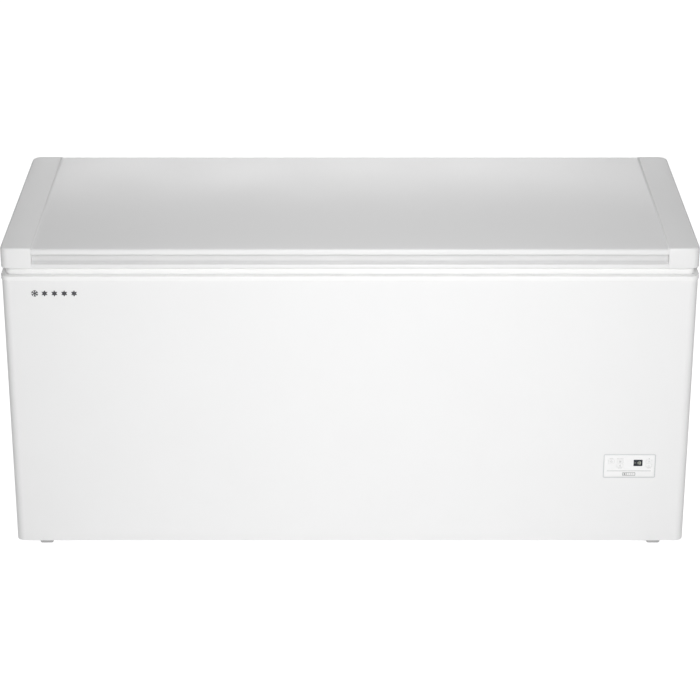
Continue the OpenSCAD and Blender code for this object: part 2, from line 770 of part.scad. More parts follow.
module castor_axles() {
    color("lightgray") for (s = [-1, 1], y = castor_ys)
        rod_x(s * castor_x - cheek_x - cheek_t, s * castor_x + cheek_x + cheek_t, y, wheel_r, axle_r);
}

module wheel(x, y) {
    r = wheel_r;
    w = wheel_w / 2;
    bore = axle_r + shaft_gap;
    color("lightgray") translate([x, y, r]) rotate([0, 90, 0]) rotate_extrude() polygon(concat(
        [[bore, -w], [bore + 4, -w], [bore + 4, -w + 4], [r - 7, -w + 4], [r - 7, -w]],
        arc(r - shoulder_r, -w + shoulder_r, shoulder_r, 270, 360),
        arc(r - shoulder_r, w - shoulder_r, shoulder_r, 0, 90),
        [[r - 7, w], [r - 7, w - 4], [bore + 4, w - 4], [bore + 4, w], [bore, w]]));
}

// ---------- drain ----------

module drain_tube() {
    route = bent([
        [drain_hole_x, drain_hole_y, cav_z - 3 - liner_t], [drain_hole_x, drain_hole_y, drain_run_z],
        [spout_x, drain_hole_y, drain_run_z], [spout_x, spout_y, drain_run_z],
        [spout_x, spout_y, spout_top]], drain_bend, 4);
    color("white") tube(route, drain_r, 12);
}

module drain_spout() {
    color("white") difference() {
        rod_z(spout_x, spout_y, spout_z + 3, spout_top - fit_gap, spout_r);
        rod_z(spout_x, spout_y, spout_z + 2, spout_top, spout_r - drain_wall);
    }
}

module drain_cap() {
    inner = spout_r + 0.3;
    color("dimgray") difference() {
        rod_z(spout_x, spout_y, spout_z, spout_z + 7, inner + 1.6);
        rod_z(spout_x, spout_y, spout_z + 2.5, spout_z + 7 + overlap, inner);
    }
}

module drain_plug() {
    color("white") union() {
        rod_z(drain_hole_x, drain_hole_y, cav_z - liner_t - 1, cav_z + 1, drain_r - drain_wall);
        rod_z(drain_hole_x, drain_hole_y, cav_z + 0.3, cav_z + 4, drain_r + 5);
        box(drain_hole_x - 2, drain_hole_y - 8, cav_z + 3, drain_hole_x + 2, drain_hole_y + 8, cav_z + 16);
    }
}

// ---------- hinges ----------

ear_t = 6;
barrel_half = hinge_w / 2 - ear_t - move_gap;

module hinge_base(x) {
    plate_z0 = shell_z - 110;
    plate_z1 = shell_z - 12;
    color("silver") difference() {
        union() {
            box(x - hinge_w / 2, rear_y, plate_z0, x + hinge_w / 2, rear_y + hinge_t, plate_z1);
            for (s = [-1, 1]) {
                x0 = x + s * (hinge_w / 2 - ear_t / 2) - ear_t / 2;
                along_x(x0, x0 + ear_t) polygon([
                    [rear_y + hinge_t - overlap, plate_z0 + 30], [rear_y + hinge_t + 6, plate_z0 + 30],
                    [pivot_y + knuckle_r - 2, pivot_z - 30], [pivot_y + knuckle_r - 2, pivot_z],
                    [pivot_y - knuckle_r + 2, pivot_z], [pivot_y - knuckle_r + 2, shell_z - 16],
                    [rear_y + hinge_t - overlap, plate_z1 - 6]]);
                rod_x(x0, x0 + ear_t, pivot_y, pivot_z, knuckle_r);
            }
        }
        rod_x(x - hinge_w, x + hinge_w, pivot_y, pivot_z, pin_r);
    }
}

module hinge_pins() {
    color("lightgray") for (s = [-1, 1]) {
        x = s * hinge_x;
        rod_x(x - hinge_w / 2 - 1.5, x + hinge_w / 2 + 1.5, pivot_y, pivot_z, pin_r);
    }
}

module lid_bracket(x) {
    half = barrel_half;
    color("silver") difference() {
        union() {
            rod_x(x - half, x + half, pivot_y, pivot_z, knuckle_r - 2);
            box(x - half, lid_y1, lid_z + 8, x + half, lid_y1 + hinge_t, top_z - 12);
            box(x - half, lid_y1 + hinge_t - overlap, lid_z + 8, x + half, pivot_y + 3, lid_z + 8 + hinge_t);
            box(x - half, pivot_y - 3, pivot_z + pin_r, x + half, pivot_y + 3, lid_z + 8 + overlap);
        }
        rod_x(x - half - overlap, x + half + overlap, pivot_y, pivot_z, pin_r + shaft_gap);
    }
}

// ---------- lid ----------

module lid_top_panel() {
    color("white") box(-cap_x, lid_y0 + lip_round + fit_gap, panel_top - sheet_t, cap_x, rail_y1, panel_top);
}

module lid_cap() {
    steps = 4;
    color("white") difference() {
        hull() {
            translate([0, 0, lid_z]) linear_extrude(lid_h - cap_round) polygon(cap_outline(0, 0));
            for (i = [1:steps]) {
                a = 90 * i / steps;
                s = cap_round * (1 - cos(a));
                translate([0, 0, top_z - cap_round + cap_round * sin(a) - 0.1])
                    linear_extrude(0.1) polygon(cap_outline(s, cap_rise * pow(i / steps, 3)));
            }
        }
        box(cap_x + cap_t, lid_y0 + cap_round, lid_z - overlap, half_w - cap_round,
            lid_y1 - cap_round, top_z - cap_round);
        box(cap_x - overlap, handle_y1, lid_z - overlap, cap_x + cap_t + overlap,
            rail_y0, panel_top - sheet_t - 4);
    }
}

module lid_handle() {
    color("white") difference() {
        translate([0, lid_y0, lid_z]) along_x(-cap_x, cap_x) polygon(handle_outline);
        translate([0, lid_y0, lid_z]) along_x(-cap_x - overlap, cap_x + overlap) polygon(handle_chamber);
    }
}

module lid_rear_rail() {
    color("white") box(-cap_x, rail_y0, lid_z, cap_x, rail_y1, panel_top - sheet_t - fit_gap);
}

module lid_foam() {
    z0 = lid_z + inner_t + fit_gap;
    z1 = panel_top - sheet_t - fit_gap;
    cap_top = top_z - cap_round - fit_gap;
    reach = half_w - cap_round - fit_gap;
    y0 = lid_y0 + cap_round + fit_gap;
    y1 = lid_y1 - cap_round - fit_gap;
    color("khaki") difference() {
        union() {
            box(-cap_x - overlap, handle_y1 + fit_gap, z0, cap_x + overlap, rail_y0 - fit_gap, z1);
            for (s = [0, 1]) mirror([s, 0, 0]) {
                box(cap_x - overlap, handle_y1 + fit_gap, z0, cap_x + cap_t + overlap,
                    rail_y0 - fit_gap, panel_top - sheet_t - 4 - fit_gap);
                box(cap_x + cap_t + fit_gap, y0, z0, reach, y1, cap_top);
            }
            box(-plug_x + inner_t + fit_gap, plug_y0 + inner_t + fit_gap, plug_z + inner_t + fit_gap,
                plug_x - inner_t - fit_gap, plug_y1 - inner_t - fit_gap, z0 + overlap);
        }
        for (s = [0, 1]) mirror([s, 0, 0])
            box(cap_x - 2 * overlap, handle_y1 - overlap, panel_top - sheet_t - 4 - fit_gap,
                cap_x + cap_t + fit_gap, rail_y0 + overlap, top_z);
        box(-lamp_w / 2 - 2, lamp_y - lamp_d / 2 - 2, plug_z - overlap, lamp_w / 2 + 2,
            lamp_y + lamp_d / 2 + 2, plug_z + lamp_h + 2);
    }
}

lamp_w = 90;
lamp_d = 34;
lamp_h = 14;
lamp_y = plug_y1 - 60;

module lid_inner_panel() {
    reach = half_w - cap_round - fit_gap;
    color("whitesmoke") difference() {
        union() {
            box(-cap_x, handle_y1 + fit_gap, lid_z, cap_x, rail_y0 - fit_gap, lid_z + inner_t);
            for (s = [-1, 1])
                box(min(s * cap_x, s * (cap_x + cap_t + fit_gap)), handle_y1 + fit_gap, lid_z,
                    max(s * cap_x, s * (cap_x + cap_t + fit_gap)), rail_y0 - fit_gap, lid_z + inner_t);
            for (s = [-1, 1])
                box(min(s * (cap_x + cap_t + fit_gap), s * reach), lid_y0 + cap_round + fit_gap, lid_z,
                    max(s * (cap_x + cap_t + fit_gap), s * reach), lid_y1 - cap_round - fit_gap,
                    lid_z + inner_t);
            slab(-plug_x, plug_y0, plug_x, plug_y1, 12, plug_z, lid_z + inner_t);
        }
        box(-plug_x + inner_t, plug_y0 + inner_t, plug_z + inner_t, plug_x - inner_t,
            plug_y1 - inner_t, lid_z + inner_t + overlap);
        box(-lamp_w / 2 - fit_gap, lamp_y - lamp_d / 2 - fit_gap, plug_z - overlap,
            lamp_w / 2 + fit_gap, lamp_y + lamp_d / 2 + fit_gap, plug_z + inner_t + overlap);
    }
}

module gasket_ring(inset, w, z0, z1) {
    x = half_w + collar_proud - gasket_inset - inset;
    y0 = front_y - collar_proud + gasket_inset + inset;
    y1 = rear_y + collar_proud - gasket_inset - inset;
    ring(-x, y0, x, y1, 18 - inset, w, z0, z1);
}

module lid_gasket() {
    magnet_h = gasket_h * 0.38;
    neck_h = gasket_h * 0.68;
    color("white") union() {
        gasket_ring(0, gasket_w, rim_z + fit_gap, rim_z + magnet_h);
        gasket_ring(3.5, gasket_w - 7, rim_z + magnet_h - overlap, rim_z + neck_h + overlap);
        gasket_ring(1.5, gasket_w - 3, rim_z + neck_h, lid_z);
    }
}

module lamp_housing() {
    color("white") difference() {
        box(-lamp_w / 2, lamp_y - lamp_d / 2, plug_z, lamp_w / 2, lamp_y + lamp_d / 2, plug_z + lamp_h);
        box(-lamp_w / 2 + 2, lamp_y - lamp_d / 2 + 2, plug_z - overlap,
            lamp_w / 2 - 2, lamp_y + lamp_d / 2 - 2, plug_z + lamp_h - 2);
    }
}

module lamp_lens() {
    color("whitesmoke") slab(-lamp_w / 2 + 2 + fit_gap, lamp_y - lamp_d / 2 + 2 + fit_gap,
        lamp_w / 2 - 2 - fit_gap, lamp_y + lamp_d / 2 - 2 - fit_gap, 2, plug_z, plug_z + 3);
}

// ---------- baskets ----------

module basket(x) {
    x0 = x - basket_w / 2;
    x1 = x + basket_w / 2;
    y0 = mouth_y0 + ledge_w + basket_gap;
    y1 = mouth_y1 - ledge_w - basket_gap;
    z0 = basket_rim_z - basket_h;
    z1 = basket_rim_z + rim_w;
    color("gainsboro") union() {
        difference() {
            slab(x0, y0, x1, y1, basket_r, z0, z1);
            slab(x0 + basket_t, y0 + basket_t, x1 - basket_t, y1 - basket_t, basket_r - basket_t,
                z0 + basket_t, z1 + overlap);
        }
        for (s = [-1, 1]) {
            hook_x = x + s * basket_w * 0.3;
            box(hook_x - hook_w / 2, basket_y0, basket_rim_z, hook_x + hook_w / 2, y0 + 1, z1);
            box(hook_x - hook_w / 2, y1 - 1, basket_rim_z, hook_x + hook_w / 2, basket_y1, z1);
        }
    }
}

// ---------- one line for each piece ----------

outer_shell();
rear_panel();
base_pan();
foam_body();
inner_liner();
top_collar();
evaporator_coil();
condenser_coil();
compressor();
terminal_cover();
mounting_rail();
rubber_grommets();
mount_bolts();
discharge_line();
suction_line();
filter_drier();
control_box();
rear_cover();
cord_gland();
side_grille();
panel_bezel();
panel_fascia();
display_window();
badge();
castor_brackets();
castor_axles();
drain_tube();
drain_spout();
drain_cap();
drain_plug();
hinge_base(-hinge_x);  // hinge_base_left
hinge_base(hinge_x);  // hinge_base_right
hinge_pins();
lid_top_panel();
mirror([1, 0, 0]) lid_cap();  // lid_cap_left
lid_cap();  // lid_cap_right
lid_handle();
lid_rear_rail();
lid_foam();
lid_inner_panel();
lid_gasket();
lid_bracket(-hinge_x);  // lid_bracket_left
lid_bracket(hinge_x);  // lid_bracket_right
lamp_housing();
lamp_lens();
basket(-basket_x);  // basket_left
basket(0);  // basket_middle
basket(basket_x);  // basket_right
key(0);  // key_power
key(1);  // key_freeze
key(2);  // key_alarm
key(3);  // key_up
key(4);  // key_down
wheel(-castor_x, castor_ys[0]);  // wheel_front_left
wheel(castor_x, castor_ys[0]);  // wheel_front_right
wheel(-castor_x, castor_ys[1]);  // wheel_rear_left
wheel(castor_x, castor_ys[1]);  // wheel_rear_right
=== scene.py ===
"""Chest freezer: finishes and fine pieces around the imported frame, with a pale studio."""
from __future__ import annotations

import logging
import math
from dataclasses import dataclass, field
from enum import Enum
from typing import Callable, Iterable, Sequence

import bmesh
import bpy
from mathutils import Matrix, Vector

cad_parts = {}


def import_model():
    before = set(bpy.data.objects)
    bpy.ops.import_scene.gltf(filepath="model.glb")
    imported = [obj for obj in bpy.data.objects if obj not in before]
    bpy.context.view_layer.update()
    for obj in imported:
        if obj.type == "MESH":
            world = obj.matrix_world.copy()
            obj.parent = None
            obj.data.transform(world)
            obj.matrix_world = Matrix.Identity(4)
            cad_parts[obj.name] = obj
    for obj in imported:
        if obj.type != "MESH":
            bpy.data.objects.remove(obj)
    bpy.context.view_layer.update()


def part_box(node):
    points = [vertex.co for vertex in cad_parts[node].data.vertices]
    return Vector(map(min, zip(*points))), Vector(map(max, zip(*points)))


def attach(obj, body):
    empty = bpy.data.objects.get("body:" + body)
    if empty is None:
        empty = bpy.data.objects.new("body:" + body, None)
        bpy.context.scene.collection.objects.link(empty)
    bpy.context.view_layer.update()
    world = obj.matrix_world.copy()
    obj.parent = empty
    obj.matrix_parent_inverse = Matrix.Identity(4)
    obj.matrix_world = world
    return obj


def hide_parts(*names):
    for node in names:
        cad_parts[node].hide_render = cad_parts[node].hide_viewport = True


LOG = logging.getLogger("freezer")
MM = 0.001
Colour = tuple[float, float, float, float]


def grey(value: float, warm: float = 0.0) -> Colour:
    """Return a linear grey, a little warmer in red and cooler in blue where warm is above 0."""
    return (value * (1 + warm), value, value * (1 - warm), 1.0)


# ---------------------------------------------------------------- shader maths


class Term:
    """A shader socket that can be used in an expression; each operator adds a Math node."""

    def __init__(self, nodes: "NodeMaker", socket: bpy.types.NodeSocket) -> None:
        """Wrap a socket of a material's node tree."""
        self.nodes = nodes
        self.socket = socket

    def _math(self, operation: str, first: object, second: object) -> "Term":
        """Return the Math node's result for two values or links."""
        return self.nodes.make("ShaderNodeMath", {"operation": operation}, {0: first, 1: second})

    def __add__(self, other: object) -> "Term":
        """Return self + other."""
        return self._math("ADD", self, other)

    __radd__ = __add__

    def __rsub__(self, other: object) -> "Term":
        """Return other - self."""
        return self._math("SUBTRACT", other, self)

    def __mul__(self, other: object) -> "Term":
        """Return self * other."""
        return self._math("MULTIPLY", self, other)

    __rmul__ = __mul__


class NodeMaker:
    """Adds nodes to one material, each with its settings and its sockets' values or links."""

    def __init__(self, owner: bpy.types.Material | bpy.types.World) -> None:
        """Empty the owner's node tree and keep it for the nodes to come."""
        owner.use_nodes = True
        self.tree = owner.node_tree
        self.tree.nodes.clear()

    def make(self, kind: str, settings: dict, inputs: dict,
             output: int | str | None = 0) -> Term | None:
        """Add a node.

        Args:
            kind: the node's type name.
            settings: its properties; "stops" are a ramp's positions and colours.
            inputs: socket name or number to a value or a Term.
            output: the output socket to return, or None for a node that has none.

        Returns:
            The chosen output as a Term, or None.
        """
        node = self.tree.nodes.new(kind)
        for name, value in settings.items():
            if name == "stops":
                ramp = node.color_ramp
                while len(ramp.elements) < len(value):
                    ramp.elements.new(0.5)
                for element, (place, colour) in zip(ramp.elements, value):
                    element.position, element.color = place, colour
            else:
                setattr(node, name, value)
        for name, value in inputs.items():
            if isinstance(value, Term):
                self.tree.links.new(value.socket, node.inputs[name])
            else:
                node.inputs[name].default_value = value
        return None if output is None else Term(self, node.outputs[output])

    def place(self) -> Term:
        """Return the Object coordinates."""
        return self.make("ShaderNodeTexCoord", {}, {}, "Object")

    def noise(self, scale: float, detail: float = 2.0, roughness: float = 0.5) -> Term:
        """Return a noise pattern's factor at a scale in features per metre."""
        sockets = {"Vector": self.place(), "Scale": scale, "Detail": detail, "Roughness": roughness}
        return self.make("ShaderNodeTexNoise", {}, sockets, "Fac")

    def cells(self, scale: float, feature: str = "F1", output: str = "Distance") -> Term:
        """Return a cell pattern at a scale in cells per metre."""
        sockets = {"Vector": self.place(), "Scale": scale}
        return self.make("ShaderNodeTexVoronoi", {"feature": feature}, sockets, output)

    def mix(self, factor: object, first: object, second: object) -> Term:
        """Return a colour between first and second."""
        return self.make("ShaderNodeMix", {"data_type": "RGBA"}, {0: factor, 6: first, 7: second}, 2)

    def bump(self, height: Term, depth: float, strength: float = 1.0) -> Term:
        """Return a normal bumped by a height pattern of the given depth in metres."""
        sockets = {"Height": height, "Distance": depth, "Strength": strength}
        return self.make("ShaderNodeBump", {}, sockets, "Normal")

    def finish(self, inputs: dict) -> None:
        """Add the surface shader with these inputs and join it to the output."""
        shader = self.make("ShaderNodeBsdfPrincipled", {}, inputs)
        self.make("ShaderNodeOutputMaterial", {}, {"Surface": shader}, None)


# ---------------------------------------------------------------- finishes


@dataclass(frozen=True)
class Finish:
    """A finish: its name and the plain values that every finish has."""

    name: str
    colour: Colour
    roughness: float = 0.4
    metallic: float = 0.0

    def make(self) -> bpy.types.Material:
        """Return the material of this finish's name, and build it if there is none yet.

        The frame has a flat material for each slot of the record. Where a finish has the name of
        a slot, that flat material is returned as it is, and the finish's own tone and patterns
        are not used.
        """
        found = bpy.data.materials.get(self.name)
        if found is not None:
            return found
        material = bpy.data.materials.new(self.name)
        material.diffuse_color = self.colour
        nodes = NodeMaker(material)
        nodes.finish(self.inputs(nodes))
        return material

    def inputs(self, nodes: NodeMaker) -> dict:
        """Return the shader's inputs; each kind of finish adds its own patterns."""
        return {"Base Color": self.colour, "Roughness": self.roughness, "Metallic": self.metallic}


@dataclass(frozen=True)
class Enamel(Finish):
    """Sprayed and baked paint: a faint orange peel, with slow changes of gloss."""

    peel_scale: float = 420.0
    peel_depth: float = 0.00002
    coat: float = 0.2
    coat_roughness: float = 0.3

    def inputs(self, nodes: NodeMaker) -> dict:
        """Return the paint's inputs."""
        cloud = nodes.noise(5.0, 3.0)
        fine = nodes.noise(self.peel_scale, 1.0)
        shade = tuple(c * 0.965 for c in self.colour[:3]) + (1.0,)
        return {
            "Base Color": nodes.mix(cloud * 0.6, self.colour, shade),
            "Roughness": self.roughness - 0.04 + cloud * 0.08,
            "Metallic": self.metallic,
            "Coat Weight": self.coat,
            "Coat Roughness": self.coat_roughness,
            "Normal": nodes.bump(fine, self.peel_depth),
        }


@dataclass(frozen=True)
class Moulded(Finish):
    """Moulded plastic: fine spark-eroded grain and a slight change of shade."""

    grain_scale: float = 1400.0
    grain_depth: float = 0.00002

    def inputs(self, nodes: NodeMaker) -> dict:
        """Return the plastic's inputs."""
        cloud = nodes.noise(9.0, 3.0)
        grain = nodes.noise(self.grain_scale, 2.0, 0.6)
        shade = tuple(c * 0.97 for c in self.colour[:3]) + (1.0,)
        return {
            "Base Color": nodes.mix(cloud * 0.7, self.colour, shade),
            "Roughness": self.roughness - 0.03 + cloud * 0.06,
            "Metallic": self.metallic,
            "Normal": nodes.bump(grain, self.grain_depth),
        }


@dataclass(frozen=True)
class Stucco(Finish):
    """Coated sheet with an embossed stucco pattern, as inside a freezer."""

    pattern_scale: float = 130.0
    pattern_depth: float = 0.0005

    def inputs(self, nodes: NodeMaker) -> dict:
        """Return the embossed sheet's inputs."""
        worm = nodes.noise(self.pattern_scale, 1.0, 0.3)
        ridge = nodes.make("ShaderNodeValToRGB",
                           {"stops": [(0.42, grey(0.0)), (0.58, grey(1.0))]}, {"Fac": worm})
        low = tuple(c * 0.9 for c in self.colour[:3]) + (1.0,)
        return {
            "Base Color": nodes.mix(ridge, low, self.colour),
            "Roughness": self.roughness + ridge * -0.06,
            "Metallic": self.metallic,
            "Normal": nodes.bump(ridge, self.pattern_depth, 0.6),
        }


@dataclass(frozen=True)
class Galvanised(Finish):
    """Zinc coated sheet with the grain of its spangle."""

    spangle: float = 90.0

    def inputs(self, nodes: NodeMaker) -> dict:
        """Return the zinc coating's inputs."""
        flake = nodes.cells(self.spangle, "F1", "Color")
        tone = nodes.make("ShaderNodeRGBToBW", {}, {"Color": flake})
        dull = nodes.noise(14.0, 4.0)
        dark = tuple(c * 0.72 for c in self.colour[:3]) + (1.0,)
        return {
            "Base Color": nodes.mix(tone * 0.6 + dull * 0.3, self.colour, dark),
            "Roughness": self.roughness - 0.08 + tone * 0.16,
            "Metallic": self.metallic,
            "Normal": nodes.bump(tone, 0.00002),
        }


@dataclass(frozen=True)
class Drawn(Finish):
    """Drawn or turned metal, with fine scratches and some tarnish."""

    tarnish: Colour = (0.2, 0.1, 0.06, 1.0)
    amount: float = 0.5

    def inputs(self, nodes: NodeMaker) -> dict:
        """Return the metal's inputs."""
        patch = nodes.noise(38.0, 5.0, 0.65)
        mask = nodes.make("ShaderNodeValToRGB",
                          {"stops": [(0.45, grey(0.0)), (0.75, grey(1.0))]}, {"Fac": patch})
        fine = nodes.noise(900.0, 2.0)
        return {
            "Base Color": nodes.mix(mask * self.amount, self.colour, self.tarnish),
            "Roughness": self.roughness + mask * 0.2,
            "Metallic": self.metallic,
            "Normal": nodes.bump(fine, 0.00001),
        }


@dataclass(frozen=True)
class Foam(Finish):
    """Rigid polyurethane foam: fine cells in an uneven straw colour."""

    def inputs(self, nodes: NodeMaker) -> dict:
        """Return the foam's inputs."""
        cell = nodes.cells(600.0)
        cloud = nodes.noise(12.0, 4.0)
        dark = tuple(c * 0.78 for c in self.colour[:3]) + (1.0,)
        return {
            "Base Color": nodes.mix(cloud, self.colour, dark),
            "Roughness": self.roughness,
            "Normal": nodes.bump(cell, 0.0004),
        }


@dataclass(frozen=True)
class Lit(Finish):
    """A lit sign of the display: dim light in its own colour."""

    power: float = 1.0

    def inputs(self, nodes: NodeMaker) -> dict:
        """Return the lit sign's inputs."""
        flicker = nodes.noise(300.0, 1.0)
        return {
            "Base Color": self.colour,
            "Roughness": self.roughness + flicker * 0.05,
            "Emission Color": self.colour,
            "Emission Strength": self.power,
        }


class Stock(Enum):
    """Every finish of the freezer, one for each kind of piece."""

    STEEL_WHITE = Enamel("white_enamel", grey(0.86), 0.32)
    LID_WHITE = Enamel("lid_enamel", grey(0.86), 0.36)
    PLASTIC_WHITE = Moulded("white_moulding", grey(0.81), 0.38)
    CAP_WHITE = Moulded("cap_moulding", grey(0.83), 0.42)
    # Darker grey for the grip groove's back wall: painted shade of the recess, with a matt roughness.
    GRIP_PAINTED_SHADE = Moulded("grip_painted_shade", grey(0.7), 0.6)
    LINER = Stucco("stucco_liner", grey(0.78, -0.004), 0.42)
    ZINC = Galvanised("galvanised", grey(0.56, -0.01), 0.42, 0.85)
    FASTENER = Drawn("zinc_fastener", grey(0.6), 0.32, 0.9, grey(0.3), 0.4)
    STRAW_FOAM = Foam("straw_foam", (0.72, 0.6, 0.36, 1.0), 0.85)
    COPPER = Drawn("copper_pipe", (0.72, 0.34, 0.2, 1.0), 0.3, 0.95)
    COIL = Drawn("coil_steel", grey(0.06), 0.45, 0.6, grey(0.12), 0.5)
    BLACK_ENAMEL = Enamel("black_enamel", grey(0.016), 0.38)
    DARK_PLASTIC = Moulded("dark_plastic", grey(0.05), 0.5)
    RUBBER = Moulded("black_rubber", grey(0.022), 0.72, 0.0, 900.0, 0.00005)
    GRILLE = Moulded("grille_plastic", grey(0.83), 0.42)
    BEZEL = Moulded("bezel_grey", grey(0.68), 0.4)
    FASCIA = Moulded("fascia_film", grey(0.81), 0.35, 0.0, 1400.0, 0.00001)
    GLASS = Moulded("display_glass", (0.022, 0.022, 0.018, 1.0), 0.12, 0.0, 300.0, 0.000005)
    BADGE = Moulded("badge_grey", grey(0.045), 0.35)
    INK = Moulded("printed_grey", grey(0.22), 0.45)
    FAINT = Moulded("printed_pale", grey(0.42), 0.45)
    # Whiter than the caps and the lid sheet: a painted highlight on the rounded seam bead at each cap's
    # inner edge.
    SEAM_PAINTED_HIGHLIGHT = Moulded("seam_painted_highlight", grey(0.9), 0.4)
    NYLON = Moulded("castor_nylon", grey(0.5), 0.5)
    VINYL = Moulded("gasket_vinyl", grey(0.84), 0.5, 0.0, 700.0, 0.00003)
    DRAIN_WHITE = Moulded("drain_plastic", grey(0.78), 0.45)
    LENS = Moulded("lamp_lens", grey(0.88), 0.25)
    WIRE = Enamel("coated_wire", grey(0.76), 0.35)
    DIGIT = Lit("display_digit", (0.5, 0.52, 0.42, 1.0), 0.4, 0.0, 0.4)


# ---------------------------------------------------------------- modelling by hand


class Bench:
    """The modelling operators used for every new piece."""

    @staticmethod
    def clear() -> None:
        """Leave edit mode and deselect everything."""
        if bpy.context.object is not None and bpy.context.object.mode != "OBJECT":
            bpy.ops.object.mode_set(mode="OBJECT")
        bpy.ops.object.select_all(action="DESELECT")

    @staticmethod
    def only(piece: bpy.types.Object) -> None:
        """Select one object alone and make it active."""
        Bench.clear()
        piece.select_set(True)
        bpy.context.view_layer.objects.active = piece

    @staticmethod
    def block(name: str, low: Vector, high: Vector) -> bpy.types.Object:
        """Add a block between two corners, with its place in its mesh."""
        Bench.clear()
        bpy.ops.mesh.primitive_cube_add(size=1.0, location=(low + high) / 2)
        piece = bpy.context.object
        piece.name = name
        piece.scale = high - low
        bpy.ops.object.transform_apply(location=True, rotation=True, scale=True)
        return piece

    @staticmethod
    def disc(name: str, centre: Vector, radius: float, depth: float, axis: str = "Z",
             sides: int = 32) -> bpy.types.Object:
        """Add a cylinder centred on a point, along X, Y or Z."""
        Bench.clear()
        turn = {"X": (0, math.pi / 2, 0), "Y": (math.pi / 2, 0, 0), "Z": (0, 0, 0)}[axis]
        bpy.ops.mesh.primitive_cylinder_add(vertices=sides, radius=radius, depth=depth,
                                            location=centre, rotation=turn)
        piece = bpy.context.object
        piece.name = name
        bpy.ops.object.transform_apply(location=True, rotation=True, scale=True)
        return piece

    @staticmethod
    def bevel(piece: bpy.types.Object, width: float, segments: int = 3,
              angle: float = 30.0) -> None:
        """Round the piece's edges that are sharper than an angle, and apply it."""
        Bench.only(piece)
        step = piece.modifiers.new("edge", "BEVEL")
        step.width, step.segments = width, segments
        step.limit_method, step.angle_limit = "ANGLE", math.radians(angle)
        step.use_clamp_overlap, step.harden_normals = True, False
        bpy.ops.object.modifier_apply(modifier="edge")

    @staticmethod
    def smooth(piece: bpy.types.Object, angle: float = 35.0) -> None:
        """Shade the piece smooth, but sharp above an angle."""
        Bench.only(piece)
        bpy.ops.object.shade_smooth_by_angle(angle=math.radians(angle))

    @staticmethod
    def join(name: str, parts: Sequence[bpy.types.Object]) -> bpy.types.Object:
        """Join several objects into one piece."""
        Bench.clear()
        for part in parts:
            part.select_set(True)
        bpy.context.view_layer.objects.active = parts[0]
        if len(parts) > 1:
            bpy.ops.object.join()
        piece = bpy.context.object
        piece.name = name
        return piece

    @staticmethod
    def outline(name: str, rings: Sequence[Sequence[Sequence[float]]],
                closed: bool) -> bpy.types.Object:
        """Add a mesh of rings of points that are bridged one after the other.

        Args:
            name: the object's name.
            rings: each ring's points, all rings with the same number.
            closed: whether the last ring is joined to the first; else the ends are capped.

        Returns:
            The new object, with its faces outwards.
        """
        mesh = bpy.data.meshes.new(name)
        count = len(rings[0])
        points = [tuple(p) for ring in rings for p in ring]
        faces = []
        spans = len(rings) if closed else len(rings) - 1
        for i in range(spans):
            a, b = i * count, ((i + 1) % len(rings)) * count
            faces += [(a + k, a + (k + 1) % count, b + (k + 1) % count, b + k)
                      for k in range(count)]
        if not closed:
            faces += [tuple(range(count - 1, -1, -1)),
                      tuple((len(rings) - 1) * count + k for k in range(count))]
        mesh.from_pydata(points, [], faces)
        piece = bpy.data.objects.new(name, mesh)
        bpy.context.collection.objects.link(piece)
        Bench.only(piece)
        bpy.ops.object.mode_set(mode="EDIT")
        bpy.ops.mesh.select_all(action="SELECT")
        bpy.ops.mesh.normals_make_consistent(inside=False)
        bpy.ops.object.mode_set(mode="OBJECT")
        return piece

    @staticmethod
    def refined(node: str, name: str, width: float, segments: int = 3,
                angle: float = 30.0) -> bpy.types.Object:
        """Copy a CAD node, merge its loose triangles and round its edges.

        Args:
            node: the CAD node to copy.
            name: the new piece's name.
            width: the rounding of its edges in metres.
            segments: the steps of the rounding.
            angle: edges flatter than this, in degrees, stay as they are.

        Returns:
            The new piece, at the node's place.
        """
        source = bpy.data.objects[node]
        piece = bpy.data.objects.new(name, source.data.copy())
        bpy.context.collection.objects.link(piece)
        Bench.only(piece)
        bpy.ops.object.mode_set(mode="EDIT")
        bpy.ops.mesh.select_all(action="SELECT")
        bpy.ops.mesh.remove_doubles(threshold=0.00001)
        bpy.ops.mesh.dissolve_limited(angle_limit=math.radians(0.5))
        bpy.ops.object.mode_set(mode="OBJECT")
        if width > 0:
            Bench.bevel(piece, width, segments, angle)
        Bench.smooth(piece)
        return piece


def dress(piece: bpy.types.Object, stock: Stock) -> None:
    """Give a piece one finish all over."""
    material = stock.value.make()
    if not piece.material_slots:
        piece.data.materials.append(material)
    for slot in piece.material_slots:
        slot.material = material


def hand_over(piece: bpy.types.Object, body: str, stock: Stock,
              replaced: Iterable[str] = ()) -> bpy.types.Object:
    """Finish a new piece: its material, the body it rides on and what it stands for.

    Args:
        piece: the new piece.
        body: the body that it moves with.
        stock: its finish.
        replaced: CAD nodes that it replaces.

    Returns:
        The piece.
    """
    dress(piece, stock)
    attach(piece, body)
    names = list(replaced)
    if names:
        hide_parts(*names)
    LOG.info("%s rides on %s, %d faces", piece.name, body, len(piece.data.polygons))
    return piece


